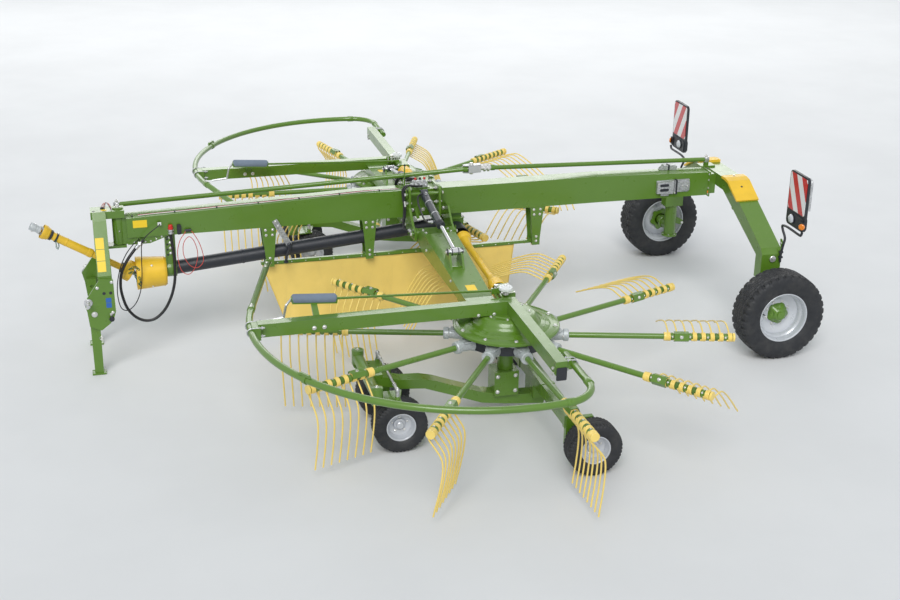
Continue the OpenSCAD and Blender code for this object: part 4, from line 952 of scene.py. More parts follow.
def make_headstock():
    trim = Piece("headstock_fittings", "headstock", "green_paint", m_green, m_patch, m_blue, m_bolt,
                 m_black, m_zinc, m_rope,
                 m_white, bevel=0.6)
    for s in (1, -1):
        # Blank yellow signs down the leg's sloping face
        for z1, z0 in ((1118, 1040), (1036, 958), (954, 880)):
            y = lambda z: 110 + 222 * (1235 - z) / 385
            at, v = (2846, s * (y(z0) + 0.2), z0), (0, s * (y(z1) - y(z0)), z1 - z0)
            trim.add(plate(at, (66, 0, 0), v, 1.0) if s < 0
                     else plate((2912, *at[1:]), (-66, 0, 0), v, 1.0), 1)
        face = s * 348
        for x, r in ((2880, 9), (2828, 9)):
            trim.add(lathe([(r + 4, 0), (r + 3.6, 1.2), (r, 1.2)], (x, face, 709), (0, s, 0), 24), 4)
        for z in (628, 584):
            trim.add(plate((2870, face, z), (-42, 0, 0), (0, 0, 40), 0.9) if s > 0 else
                     plate((2828, face, z), (42, 0, 0), (0, 0, 40), 0.9), 2)
        # Stand's pivot bolt, hitch pin's collar and linch pin, small bolts at the corners
        trim.add(lathe([(24, 0), (24, 3), (18, 4), (18, 12), (15, 15), (1, 16)], (2967, face, 536),
                       (0, s, 0), 28), 3)
        trim.add(lathe([(34, 0), (34, 5), (24, 9), (14.5, 9)], (3008, face, 640), (0, s, 0), 32), 5)
        pin = face + s * 62
        trim.add(rod((3008, pin, 668), (3008, pin, 612), 4.5, 12), 3)
        trim.add(ring((3008, pin, 668), (0.2, s, 0), 17, 2.4, 28), 3)
        for x, z in ((3016, 596), (2815, 800), (2930, 760), (2824, 540)):
            trim.add(bolt((x, face, z), (0, s, 0), 9), 3)
        # Black knob with its clip at the lower rear corner
        trim.add(lathe([(10, 0), (10, 14), (20, 18), (22, 30), (18, 40), (6, 43)], (2836, face, 494),
                       (0, s, 0), 24), 4)
        trim.add(block((2826, min(face, face + s * 4), 512), (2848, max(face, face + s * 4), 536)), 3)
        trim.add(tube(smooth_path([(2838, face + s * 3, 532), (2838, face + s * 18, 540),
                                   (2838, face + s * 22, 522),
                                   (2838, face + s * 8, 516)], 4), 2.6, 8), 3)
        # Bolts that join leg and side plate
        for x in (2838, 2892):
            trim.add(bolt((x, s * 332, 765), (0, s, 0), 9), 3)
    # Cap: hole, blank sign and the bundle of thin wires that comes up through it
    trim.add(lathe([(12, 0), (11, 1), (8, 1)], (2904, 42, 1297), (0, 0, 1), 20), 4)
    trim.add(plate((2800, 10, 1297.2), (46, 0, 0), (0, 34, 0), 0.9), 1)
    trim.add(lathe([(44, 0), (44, 8), (36, 12), (30, 12)], (2715, 0, 1297), (0, 0, 1), 36), 0)
    trim.add(bolt((2715, 0, 1309), (0, 0, 1), 16, True), 3)
    for k, m in enumerate((6, 7, 6, 4)):
        o = k * 7
        wire = smooth_path([(2836 - o, -30 + o, 1296), (2832 - o, -24 + o, 1322),
                            (2812 - o / 2, -10 + o, 1346 + k * 3),
                            (2784, 6 + o, 1345 - k * 2), (2766 + o / 3, 20 + o, 1318),
                            (2764, 24 + o, 1296)], 5)
        trim.add(tube(wire, 2.6, 7), m)
    trim.add(lathe([(16, 0), (16, 8), (12, 12), (4, 13)], (2834, -22, 1297), (0, 0, 1), 20), 4)
    trim.add(rod((2875, -338, 785), (2875, -346, 785), 34, 28), 0)
    trim.add(rod((2875, 338, 785), (2875, 346, 785), 34, 28), 0)
    trim.done()
    for side, s in SIDES:
        foot = Piece(f"stand_fittings_{side}", f"stand_{side}", "green_paint", m_green, m_bolt, side=s,
                     bevel=0.6)
        foot.add(rod((2931, 262, 311), (2931, 346, 311), 8, 14), 1)
        foot.add(ring((2931, 342, 322), (0.3, 1, 0), 13, 2.2, 24), 1)
        for z in (120, 205, 390, 470):
            foot.add(lathe([(11, 0), (10.5, 1.2), (7, 1.2)], (2968, 329, z), (0, 1, 0), 20), 0)
        foot.add(tube(np.array([(3000, 268, 13), (3022, 268, 13), (3022, 340, 13), (3000, 340, 13)]), 4,
                      8), 0)
        foot.done()


def make_pto():
    """Universal joint shaft in its yellow guard, with cone covers, clips and retaining chains."""
    a, b = np.array([3400.0, 0, 1203]), np.array([2610.0, 0, 722])
    d = (b - a) / np.linalg.norm(b - a)
    length = float(np.linalg.norm(b - a))
    up = np.cross(d, (0, 1, 0))
    shaft = Piece("driving_shaft_dressed", "frame", "yellow_plastic", m_yellow, m_black, m_hub, m_chain,
                  m_bolt, bevel=0.8)
    # Front yoke: splined clamp with its quick release, ears and cross
    shaft.add(lathe([(18, 0), (31, 0), (32, 2), (32, 44), (29, 48), (29, 70), (34, 76), (34, 84),
                     (18, 84)], a, d, 40,
                    closed=True), 2)
    shaft.add(rod(a + d * 30 - up * 36, a + d * 30 + up * 40, 8, 16), 4)
    for e in (1, -1):
        c = a + d * 74 + up * e * 24
        shaft.add(rod(c, c + d * 66, 11, 14), 2)
        c = a + d * 112 + np.array([0, e * 25.0, 0])
        shaft.add(rod(c, c + d * 44, 11, 14), 2)
    shaft.add(rod(a + d * 118 - up * 34, a + d * 118 + up * 34, 12, 16), 4)
    shaft.add(rod(a + d * 118 - (0, 34, 0), a + d * 118 + (0, 34, 0), 12, 16), 4)
    # Front cone cover and its black bearing ring
    shaft.add(lathe([(54, 100), (58, 99), (60, 103), (59, 128), (52, 142), (50, 156), (38, 168), (34, 168),
                     (46, 154),
                     (48, 140), (55, 127)], a, d, 48, closed=True))
    shaft.add(lathe([(36, 166), (43, 166), (43, 184), (36, 188)], a, d, 40), 1)
    # Outer tube, its end collar, and the slimmer inner tube
    step = length - 390
    shaft.add(lathe([(34, 186), (34, step - 40), (37, step - 36), (37, step - 4), (34, step), (27, step)],
                    a, d, 40))
    shaft.add(lathe([(27.5, step - 4), (27.5, length - 100)], a, d, 40))
    for h in (300, 520):
        shaft.add(lathe([(34, h), (35.2, h + 2), (35.2, h + 14), (34, h + 16)], a, d, 40))
    for h in (216, length - 132):
        r = 35 if h < 400 else 29
        shaft.add(lathe([(r, h), (r + 4, h + 1), (r + 4, h + 15), (r, h + 16)], a, d, 32), 1)
        c = a + d * (h + 8) + up * -(r + 3)
        shaft.add(bolt(c, -up, 6), 4)
    # Rear cone cover with ribs, bearing ring, and the joint inside
    h0 = length - 112
    shaft.add(lathe([(30, h0 - 4), (34, h0 - 6), (62, h0 + 16), (84, h0 + 24), (86, h0 + 70),
                     (82, h0 + 72), (80, h0 + 30),
                     (58, h0 + 21), (31, h0 + 2)], a, d, 56, closed=True))
    shaft.add(lathe([(30, h0 - 22), (42, h0 - 20), (44, h0 - 8), (34, h0 - 2)], a, d, 40), 1)
    for k in range(12):
        t = 2 * math.pi * k / 12
        rim = np.cos(t) * up + np.sin(t) * np.array([0, 1.0, 0])
        shaft.add(rod(a + d * (h0 + 26) + rim * 84.5, a + d * (h0 + 66) + rim * 86, 2.6, 8))
    for e in (1, -1):
        c = b + np.array([0, e * 22.0, 0])
        shaft.add(rod(c - d * 52, c + d * 4, 12, 14), 2)
        c = b + np.array([0, 0, e * 22.0])
        shaft.add(rod(c - (4, 0, 0), c - (46, 0, 0), 12, 14), 2)
    shaft.add(lathe([(30, 0), (33, 4), (33, 26), (26, 34)], b - d * 78, d, 32), 2)
    shaft.add(lathe([(22, 0), (30, 6), (30, 30), (26, 34)], b - (34, 0, 0), (-1, 0, 0), 32), 2)
    shaft.add(rod(b - (0, 33, 0), b + (0, 33, 0), 12, 16), 4)
    shaft.add(rod(b - (0, 0, 33), b + (0, 0, 33), 12, 16), 4)
    # Chains: from the rear cover to the bowl's rim, and one looped on the front collar
    shaft.add(chain(smooth_path([b - d * 70 + (0, 84, 8), (2628, 112, 772), (2606, 126, 700),
                                 (2586, 134, 668), (2583, 136, 700), (2590, 138, 744)], 6)), 3)
    shaft.add(chain(smooth_path([b - d * 66 + (0, 78, 36), (2622, 104, 820), (2598, 116, 812),
                                 (2584, 118, 792)], 6)), 3)
    c = a + d * 224
    shaft.add(chain(smooth_path([c + (0, 36, 0), c + (4, 42, -30), c + (6, 40, -64), c + (-6, 34, -84),
                                 c + (-14, 20, -56),
                                 c + (-8, 8, -40)], 5), 2.4, 26), 3)
    shaft.done("pto_shaft")
    # Rim, ribs and bolts of the bowl round the joint
    bowl = Piece("joint_bowl_fittings", "frame", "yellow_plastic", m_yellow, m_bolt, m_black, bevel=0.5)
    at = (2362.3, 0, 726)
    bowl.add(ring((at[0] + 240, 0, 726), (1, 0, 0), 134, 5, 64))
    bowl.add(ring((at[0] + 20, 0, 726), (1, 0, 0), 120.5, 3, 64))
    for k in range(4):
        t = math.radians(45 + 90 * k)
        bowl.add(bolt((at[0] + 5.7, 78 * math.cos(t), 726 + 78 * math.sin(t)), (1, 0, 0), 8), 1)
        r = 128.5
        bowl.add(bolt((at[0] + 120, r * math.cos(t), 726 + r * math.sin(t)), (0, math.cos(t), math.sin(t)),
                      6), 1)
    for t in (60, 120):
        c, e = math.cos(math.radians(t)), math.sin(math.radians(t))
        bowl.add(tube(np.array([(at[0] + 30, 121 * c, 726 + 121 * e),
                                (at[0] + 222, 135 * c, 726 + 135 * e)]), 3, 8))
    bowl.done()


# MAIN BEAM: front fittings, harness on top, cross bolts

def make_beam_front():
    trim = Piece("beam_front_fittings", "frame", "green_paint", m_green, m_patch, m_bolt, m_black, m_red,
                 m_white, m_zinc,
                 bevel=0.6)
    trim.add(plate((2606, 80.1, 1146), (-112, 0, 0), (0, 0, 62), 1.0), 1)
    # Bolts along the gusset's lower edge and its folded lip
    for x in range(2340, 2640, 44):
        z = 1066 if x < 2330 else 1064 - 62 * min(1, max(0, (x - 2300) / 180)) + 16
        for s in (1, -1):
            trim.add(bolt((x, s * 68, z), (0, s, 0), 5), 2)
    # Hose ends: crimped sleeve in front, silver fitting with its red cap at the back
    a, back = np.array([2590.0, 100, 988]), np.array([-22.0, -4, 22])
    back /= np.linalg.norm(back)
    trim.add(fitting(a - back * 14, back, 16.5, 72, ((0.62, 0.86),)), 6)
    trim.add(lathe([(17, 0), (18.5, 2), (18.5, 22), (15, 26)], a + back * 56, back, 24), 3)
    trim.add(fitting((2312, 100, 1080), (0, 0, 1), 16.6, 42, ((0.1, 0.34), (0.6, 0.95))), 6)
    trim.add(lathe([(21, 0), (21, 12), (18, 14), (18, 30), (14, 36), (1, 37)], (2312, 100, 1122),
                   (0, 0, 1), 24), 4)
    # Cable plug with its white tag, black grip, and the plug that the rope starts from
    trim.add(lathe([(11.6, 0), (14, 2), (14, 18), (11.6, 26)], (2398, 108, 1175), (0, -1, 0), 20), 3)
    trim.add(merge([block((2384, 110, 1164), (2412, 113, 1190))]), 5)
    trim.add(prism([(2244 + x, 1112 + z) for x, z in rounded(34, 84, 12)], "y", 80, 106), 3)
    trim.add(prism([(2244 + x, 1112 + z) for x, z in rounded(22, 60, 8)], "y", 106, 110), 3)
    trim.add(rod((2200, 97, 1098), (2148, 97, 1100), 12, 16), 3)
    trim.add(block((2192, 78, 1092), (2206, 97, 1108)), 0)
    trim.add(block((2330, -30, 1038), (2440, 60, 1063)), 3)
    # Hanger of the driveline: edges, bolts and slots on both faces
    for s in (1, -1):
        for x in (2279, 2355):
            trim.add(block((x, min(s * 44, s * 60), 790), (x + 6, max(s * 44, s * 60), 1062)))
        for z in (1030, 985, 940, 895):
            trim.add(bolt((2320, s * 45.6, z), (0, s, 0), 8), 2)
            trim.add(lathe([(9, 0), (8.6, 1), (6, 1)], (2342, s * 45.6, z - 14), (0, s, 0), 18), 3)
    # Harness clipped along the beam's top, red and white, with a black cable beside it
    for y, m in ((34, 4), (42, 5), (24, 3)):
        line = smooth_path([(x, y + 3 * math.sin(x / 97 + m), 1300.5 - max(0, x - 700) * 0.03632 + 4)
                            for x in range(400, 2640, 80)], 3)
        trim.add(tube(line, 3.2, 7), m)
    for x in range(560, 2620, 340):
        z = 1300 - max(0, x - 700) * 0.03632
        trim.add(merge([prism([(y, z - 1) for y in (18,)] + [(18, z + 8), (48, z + 8), (48, z - 1)], "x",
                              x, x + 12)]), 3)
    # Barrel of the steering pivot: grease nipples and rings
    for z in (1010, 1222):
        trim.add(ring((2715, 0, z), (0, 0, 1), 52, 3.5, 40))
    trim.add(lathe([(6, 0), (6, 5), (3.5, 8), (3.5, 12)], (2715, 52, 1120), (0, 1, 0), 12), 2)
    trim.done()


def make_centre():
    """Bolts, gussets, hoses and the valve block between the plates that carry the lifting arms."""
    trim = Piece("centre_fittings", "frame", "green_paint", m_green, m_bolt, m_zinc, m_red, m_hose,
                 m_black, m_white, bevel=0.6)
    for s in (1, -1):
        for x, y, z in ((75, 112, 1194), (335, 112, 1194), (75, 98, 1312), (335, 98, 1312)):
            trim.add(rod((x - 34, s * y, z), (x + 36, s * y, z), 8, 14), 1)
            for e in (1, -1):
                trim.add(bolt((x + e * 10, s * y, z), (e, 0, 0), 12), 1)
        for x, y, z, e in ((355, 340, 1000, 1), (-20, 340, 1000, -1), (357, 140, 1280, 1),
                           (53, 140, 1280, -1)):
            trim.add(lathe([(30, -2), (30, 3), (22, 5), (22, 8)], (x - e * 3, s * y, z), (e, 0, 0), 32))
            trim.add(bolt((x + e * 4, s * y, z), (e, 0, 0), 12), 1)
            trim.add(block((x - 3, s * y - 8, z + 22), (x + 3, s * y + 8, z + 52)))
        for x in (20, 110, 200, 290):
            trim.add(bolt((x, s * 100, 1128), (0, s, 0), 11), 1)
        # Triangular gussets beside the cylinder
        for x in (140, 262):
            trim.add(prism([(s * q[0], q[1]) for q in [(100, 1150), (188, 1090), (188, 1078),
                                                       (100, 1078)]], "x", x, x + 8))
            trim.add(prism([(s * q[0], q[1]) for q in [(99, 1150), (190, 1088), (190, 1082), (99, 1144)]],
                           "x", x - 9, x + 17))
        # Lower wings: bolts that tie them to the beam's underside
        for x in (-8, 345):
            e = -1 if x < 0 else 1
            for y, z in ((60, 1040), (60, 990), (220, 985)):
                trim.add(bolt((x, s * y, z), (e, 0, 0), 9), 1)
    # Valve block on the beam's top with ports, caps and hoses
    trim.add(prism([(205 + x, y) for x, y in rounded(150, 110, 8)], "z", 1300, 1306))
    trim.add(prism([(205 + x, y) for x, y in rounded(118, 84, 6)], "z", 1306, 1344), 2)
    for x in (165, 205, 245):
        trim.add(fitting((x, 42, 1324), (0, 1, 0.15), 9, 34), 2)
        trim.add(fitting((x, -42, 1324), (0, -1, 0.15), 9, 34), 2)
        trim.add(fitting((x, 0, 1344), (0, 0, 1), 8, 22), 2)
    for x, m in ((165, 3), (245, 3), (205, 5)):
        trim.add(lathe([(11, 0), (11, 12), (8, 16)], (x, 0, 1364), (0, 0, 1), 18), m)
    trim.add(fitting((264, 10, 1326), (1, 0, 0.1), 10, 30), 2)
    for k, (x, r) in enumerate(((245, 8.5), (205, 7.5))):
        for s in (1, -1):
            line = [(x, s * 74, 1329), (x + 10, s * 96, 1336), (x + 50, s * 112, 1342),
                    (330 + 20 * k, s * 118, 1352),
                    (372 + 14 * k, s * 124, 1320), (374 + 12 * k, s * 140, 1250),
                    (370 + 12 * k, s * 160, 1190),
                    (376 + 12 * k, s * 178, 1110), (392 + 10 * k, s * (196 + 20 * k), 1040),
                    (384, s * (226 + 24 * k), 1006),
                    (364, s * (246 + 28 * k), 1004), (344, s * (250 + 30 * k), 1004)]
            trim.add(tube(smooth_path(line, 5), r, 10), 4)
            trim.add(fitting((345, s * (250 + 30 * k), 1004), (1, 0, 0), r * 1.3, 26), 2)
    for s in (1, -1):
        trim.add(fitting((372, s * 148, 1226), (-0.03, s * 0.26, -0.9), 11.5, 46, ()), 1)
        trim.add(block((345, s * 140 - 16, 1152), (372, s * 140 + 16, 1158)))
    # Hangers of the curtain: bolts in pairs
    for x in (1510, 660, -830):
        for s in (1, -1):
            for dx, z in ((-30, 1040), (30, 1040), (-26, 995), (26, 995), (0, 790), (0, 750)):
                trim.add(bolt((x + dx, s * 76, z), (0, s, 0), 8), 1)
    # Galvanised channel that hangs from the beam's side, with its black foot
    a, b = np.array([1464.0, 1124]), np.array([1350.0, 908])
    run = (b - a) / np.linalg.norm(b - a)
    wide = np.array([-run[1], run[0]])
    for o0, o1, y0, y1 in ((-23, 23, 82, 87), (-23, -18, 82, 108), (18, 23, 82, 108)):
        trim.add(prism([tuple(a + wide * o0), tuple(a + wide * o1), tuple(b + wide * o1),
                        tuple(b + wide * o0)], "y", y0, y1), 2)
    foot = smooth_path([(1352, 98, 916), (1350, 98, 870), (1374, 98, 810), (1381, 98, 752)], 5)
    trim.add(tube(foot, 12, 14), 5)
    trim.add(lathe([(12, -20), (24, -18), (24, 18), (12, 20)], (1350, 98, 896), (0.47, 0, 0.88), 24), 5)
    trim.add(lathe([(10, 0), (20, 2), (20, 12), (10, 14)], (1381, 98, 748), (0, 0, 1), 24), 5)
    for h in (16, 60):
        c = a + run * h
        trim.add(bolt((c[0], 87, c[1]), (0, 1, 0), 8), 1)
    # Thin upright that carries the steering rod's hoses
    trim.add(rod((338, 0, 1300), (338, 0, 1508), 5.5, 14))
    trim.add(lathe([(6, 0), (11, 1), (11, 10), (6, 12)], (338, 0, 1490), (0, 0, 1), 20), 5)
    # Gearbox: lid, bolts, fill plug and ribs
    trim.add(prism([(-90 + x, y) for x, y in rounded(166, 166, 14)], "z", 1013, 1022))
    for x, y in ((-155, 66), (-155, -66), (-25, 66), (-25, -66)):
        trim.add(bolt((x, y, 1022), (0, 0, 1), 8), 1)
    for z in (880, 920, 960):
        trim.add(block((-166, -58, z), (-155, 58, z + 8)))
    trim.add(bolt((-165, 0, 990), (-1, 0, 0), 10), 1)
    for s in (1, -1):
        for k in range(6):
            t = math.radians(60 * k + 30)
            trim.add(bolt((-90 + 50 * math.cos(t), s * 102, 925 + 50 * math.sin(t)), (0, s, 0), 6), 1)
    # Driveline cover: clamp rings
    d = np.array([-2300.5, 0, 206.0]) / 2309.7
    for h in (24, 620, 840, 1690, 2270):
        c = np.array([2356.0, 0, 744]) + d * h
        trim.add(lathe([(57, 0), (60, 1), (60, 17), (57, 18)], c, d, 48), 5)
    trim.done()


def make_steering_rod():
    """Silver adjustable fork in the middle of the rod, and its end joints."""
    trim = Piece("steering_rod_joints", "steering_rod", "zinc_steel", m_zinc, m_bolt, m_green, bevel=0.8)
    m = np.array([-290.0, -60, 1410])
    f, e = np.array([2715.0, -150, 1279.3]), np.array([-2510.0, -150, 1315.3])
    u, v = (f - m) / np.linalg.norm(f - m), (e - m) / np.linalg.norm(e - m)
    for z in (28.3, -34.3):
        trim.add(prism([(m[0] + x, m[1] + y) for x, y in ((100, -18), (64, -30), (-20, -30), (-58, -20),
                                                          (-58, 20), (-20, 30),
                                                         (64, 30), (100, 18))], "z", m[2] + z,
                       m[2] + z + 6))
        trim.add(bolt((m[0] + 24, m[1], m[2] + z + (6 if z > 0 else 0)), (0, 0, 1 if z > 0 else -1), 15), 1)
    trim.add(rod(m + v * 56, m + v * 150, 21.5, 20), 1)
    for h in (84, 118):
        trim.add(lathe([(30, 0), (32, 2), (32, 18), (30, 20)], m + v * h, v, 6), 1)
    trim.add(rod(m + u * 56, m + u * 96, 26, 28), 2)
    trim.add(rod(m + v * 150, m + v * 186, 25, 28), 2)
    for p in (f, e):
        trim.add(lathe([(26, -22), (28, -18), (28, 18), (24, 23), (1, 24)], p, (0, 0, 1), 32))
        trim.add(bolt(p + (0, 0, 23), (0, 0, 1), 14, True), 1)
    trim.done()


# TAIL: chocks in their galvanised holders, arch

# Upright axis of the rear wheels' knuckles
KNUCKLE_X, KNUCKLE_Y = -2600, 1010


def make_tail():
    chocks = Piece("wheel_chocks_dressed", "frame", "zinc_steel", m_zinc, m_black, m_bolt, bevel=1.2)
    # Holder on the left face: back plate, folded chock with two long holes, hinged flap with a strap
    chocks.add(prism([(-2092 + x, 1164 + z) for x, z in rounded(316, 118, 10)], "y", 80.2, 86))
    chocks.add(prism([(-1932, 1112), (-1932, 1212), (-2088, 1222), (-2088, 1102)], "y", 86, 118))
    for z in (1186, 1143):
        slot = [(-1998 + x, z + q) for x, q in rounded(86, 26, 12.9)]
        rim = [(-1998 + x * 1.1, z + q * 1.24) for x, q in rounded(86, 26, 12.9)]
        chocks.add(prism(rim, "y", 117.5, 120.5))
        chocks.add(prism(slot, "y", 120, 121.3), 1)
    chocks.add(prism([(-2096, 1112), (-2096, 1218), (-2146, 1210), (-2146, 1120)], "y", 86, 112))
    chocks.add(prism([(-2150, 1122), (-2150, 1206), (-2246, 1202), (-2246, 1126)], "y", 86, 106))
    chocks.add(block((-2120, 110, 1098), (-2108, 124, 1228)), 1)
    chocks.add(block((-2120, 84, 1222), (-2108, 122, 1230)), 1)
    chocks.add(prism([(-1976, 1112), (-1976, 1084), (-2052, 1080), (-2052, 1104)], "y", 92, 98))
    for x, z in ((-2226, 1164), (-2176, 1164), (-2104, 1110), (-1944, 1200)):
        chocks.add(bolt((x, 106 if x < -2150 else 112 if x < -2090 else 118, z), (0, 1, 0), 6), 2)
    # The second one lies folded on the beam's top
    tilt = (Matrix.Translation((-2090, -50, 1279)) @ Matrix.Rotation(math.radians(-1.87), 4, "Y"))
    roof = [(-80, 0), (-80, 34), (-30, 44), (44, 40), (80, 10), (80, 0)]
    chocks.add(moved(prism(roof, "y", -25, 25), tilt))
    for x in (-44, 34):
        chocks.add(moved(prism([(x + q[0], q[1]) for q in ((-20, 30), (-14, 45), (14, 45), (20, 30))], "y",
                               -26, 26), tilt))
    chocks.add(moved(block((-8, -27, 0), (8, 27, 46)), tilt), 1)
    chocks.done("wheel_chocks")
    trim = Piece("tail_fittings", "frame", "green_paint", m_green, m_bolt, m_black, m_yellow, m_orange,
                 bevel=0.7)
    # Bolts of the end plate
    for s in (1, -1):
        for z in (1068, 1122, 1196, 1250):
            trim.add(bolt((-2440, s * 84, z), (1, 0, 0), 7), 1)
        # Knee bolt, screw of the yellow cover, tab inside the leg, lug of the board's arm
        y = 1050 + 7
        trim.add(lathe([(29, 0), (29, 4), (25, 8), (1, 9)], (-2610, s * y, 785), (0, s, 0), 36), 1)
        trim.add(prism([(s * q[0], q[1]) for q in [(446, 1030), (470, 1052), (436, 1058), (424, 1040)]],
                       "x", -2516, -2508))
        n = np.array([0, s * 0.435, 0.9])
        trim.add(bolt((-2590, s * 420, 1222), n, 9), 2)
        trim.add(bolt((-2590, s * 262, 1279), (0, 0, 1), 8), 1)
        trim.add(prism([(s * (1030 + 34 * math.cos(t)), 900 + 52 * math.sin(t))
                        for t in np.linspace(-1.2, 1.9, 12)], "x", -2690, -2682))
        trim.add(bolt((-2682, s * 1040, 916), (1, 0, 0), 8), 1)
        # Knuckle's top collar stays on the arch side as a thrust ring
        trim.add(lathe([(64, 0), (64, 8), (58, 10), (31, 10), (31, 0)], (KNUCKLE_X, s * KNUCKLE_Y, 601),
                       (0, 0, 1), 40, closed=True), 1)
    trim.add(plate((-2430, 84, 1072), (-12, 0, 0), (0, 0, 26), 1.2), 4)
    trim.done()
    for side, s in SIDES:
        knuckle = Piece(f"knuckle_fittings_{side}", f"knuckle_{side}", "green_paint", m_green, m_bolt,
                        m_black, side=s, bevel=0.8)
        x, z = -2593, 376
        # Flange ring with bolts at the foot, hub's drum and its bolts
        knuckle.add(lathe([(74, 0), (74, 14), (60, 22), (58, 22)], (KNUCKLE_X, KNUCKLE_Y, 282), (0, 0, 1),
                          40))
        for k in range(6):
            t = math.radians(60 * k)
            knuckle.add(bolt((KNUCKLE_X + 64 * math.cos(t), KNUCKLE_Y + 64 * math.sin(t), 300), (0, 0, 1),
                             6), 1)
        for k in range(8):
            t = math.radians(45 * k + 22)
            knuckle.add(bolt((x + 74 * math.cos(t), 1230, z + 74 * math.sin(t)), (0, -1, 0), 7), 1)
        knuckle.add(lathe([(52, 0), (60, 6), (60, 26), (50, 34)], (x, 1120, z), (0, 1, 0), 40))
        knuckle.add(prism([(KNUCKLE_X + q[0], q[1]) for q in ((-58, 470), (-130, 430), (-142, 400),
                                                              (-118, 384), (-58, 400))], "y", 1000, 1020))
        knuckle.add(rod((-2718, 985, 408), (-2718, 1035, 408), 13, 20), 1)
        knuckle.done()


# LIFTING ARMS, CYLINDERS AND GUARDS

def make_arms():
    t0 = np.array([205.0, 140, 1280])
    d = np.array([0, 990.0, -160]) / math.hypot(990, 160)
    n = np.array([0, 160.0, 990]) / math.hypot(990, 160)
    for side, s in SIDES:
        boom = Piece(f"lifting_arm_fittings_{side}", f"boom_{side}", "green_paint", m_green, m_bolt,
                     m_patch, m_black, m_black_paint,
                     side=s, bevel=0.8)
        # Saddle across the cylinder's ears, pin caps, blank sign, grease nipples
        for x in (-1, 1):
            face = 205 + x * 57.2
            boom.add(lathe([(30, 0), (30, 3), (22, 5), (22, 9)], (face, 1130, 1120), (x, 0, 0), 32), 4)
            boom.add(bolt((face + x * 9, 1130, 1120), (x, 0, 0), 9), 1)
        curve = [(1018 + 10 * k, 1012 + 9 * math.sin(math.pi * k / 5)) for k in range(6)]
        boom.add(prism(curve + [(1068, 1004), (1018, 1004)], "x", 164, 246))
        boom.add(block((164, 1196, 985), (246, 1206, 1024)))
        boom.add(plate((224, 1494, 977.6), (0, 112, -12), (-76, 0, 0), 1.0), 2)
        for y, z in ((420, 1058), (520, 1070)):
            for x in (70, 280):
                boom.add(bolt((x, y, z - 2), (0, -0.1, 1), 8), 1)
        for y in (640, 1340):
            for x, e in ((175 + 1 - 0.0226 * (y - 280) + 139, 1), (175 - 1 + 0.0226 * (y - 280) - 139, -1)):
                boom.add(bolt((x - e * (0 if y < 1000 else 0), y, 960), (e, 0, 0), 9), 1)
        # Hinge eyes: rings at both ends of the cross tube
        for x in (12, 318):
            boom.add(lathe([(45, 0), (50, 0), (50, 8), (45, 8)], (x - 4, 340, 1000), (1, 0, 0), 40))
        boom.done()
        barrel = Piece(f"cylinder_fittings_{side}", f"ram_barrel_{side}", "black_paint", m_black_paint,
                       m_zinc, m_hose, m_black,
                       side=s, bevel=0.6)
        end = t0 + d * 575
        barrel.add(lathe([(34.4, -46), (37, -44), (37, -8), (34, -2), (18, 1), (17.6, -4)], end, d, 40,
                         closed=True), 3)
        barrel.add(lathe([(34, 0), (36.5, 3), (36.5, 26), (34, 30)], t0 + d * 66, d, 40, closed=True))
        port = t0 + d * 500 + np.array([34.0, 0, 0])
        barrel.add(rod(port - (6, 0, 0), port + (14, 0, 0), 13, 18))
        barrel.add(fitting(port + (12, 0, 0), (1, 0, 0.05), 9.5, 44, ((0.1, 0.4),)), 1)
        hose = [port + (50, 0, 0), port + (66, 0, 2) - d * 14, port + (70, 0, 0) - d * 60 - n * 6,
                port + (64, 0, 0) - d * 180 - n * 12,
                port + (56, 0, 0) - d * 320 - n * 2, port + (40, 0, 0) - d * 410 + n * 16,
                port + (12, 0, 0) - d * 440 + n * 26,
                port + (-4, 0, 0) - d * 436 + n * 30]
        barrel.add(tube(smooth_path(hose, 6), 7.5, 10), 2)
        top = t0 + d * 76 + n * 34
        barrel.add(fitting(top - n * 4, n, 9.5, 20), 1)
        for h in (180, 380):
            barrel.add(lathe([(34, 0), (35.4, 1), (35.4, 13), (34, 14)], t0 + d * h, d, 40, closed=True), 1)
        barrel.done()
        shaft = Piece(f"side_shaft_fittings_{side}", f"drive_shaft_{side}", "yellow_plastic", m_yellow,
                      m_black, m_bolt, side=s,
                      bevel=0.5)
        j, k = np.array([-90.0, 345, 925]), np.array([-30.0, 1560, 945])
        q = (k - j) / np.linalg.norm(k - j)
        length = float(np.linalg.norm(k - j))
        shaft.add(ring(j, q, 67, 2.2, 56))
        shaft.add(lathe([(29.5, 0), (32, 2), (32, 20), (29.5, 22)], j + q * 156, q, 40))
        shaft.add(lathe([(29.3, 0), (31, 1), (31, 9), (29.3, 10)], j + q * 560, q, 40))
        for t in range(6):
            a = math.radians(60 * t)
            up = np.cross(q, (1, 0, 0))
            rim = math.cos(a) * np.array([1.0, 0, 0]) + math.sin(a) * up
            shaft.add(rod(j + q * (length - 108) + rim * 62, j + q * (length - 6) + rim * 62.3, 2.4, 8))
        shaft.add(ring(k - q * 3, q, 61.6, 2.6, 48))
        shaft.add(bolt(j + q * 168 + np.cross(q, (1, 0, 0)) * 31, np.cross(q, (1, 0, 0)), 5), 2)
        shaft.done()
        rod_end = Piece(f"cylinder_eye_{side}", f"ram_rod_{side}", "rod_chrome", m_black_paint, m_bolt,
                        side=s, bevel=0.6)
        e = np.array([205.0, 1130, 1120])
        rod_end.add(lathe([(18, 0), (24, 2), (24, 10), (18, 12)], e - d * 35, d, 32))
        for x in (-1, 1):
            rod_end.add(lathe([(30.3, 0), (31.6, 1), (31.6, 7), (30.3, 8)], e + (x * 26 - 4, 0, 0),
                              (1, 0, 0), 36))
        rod_end.done()


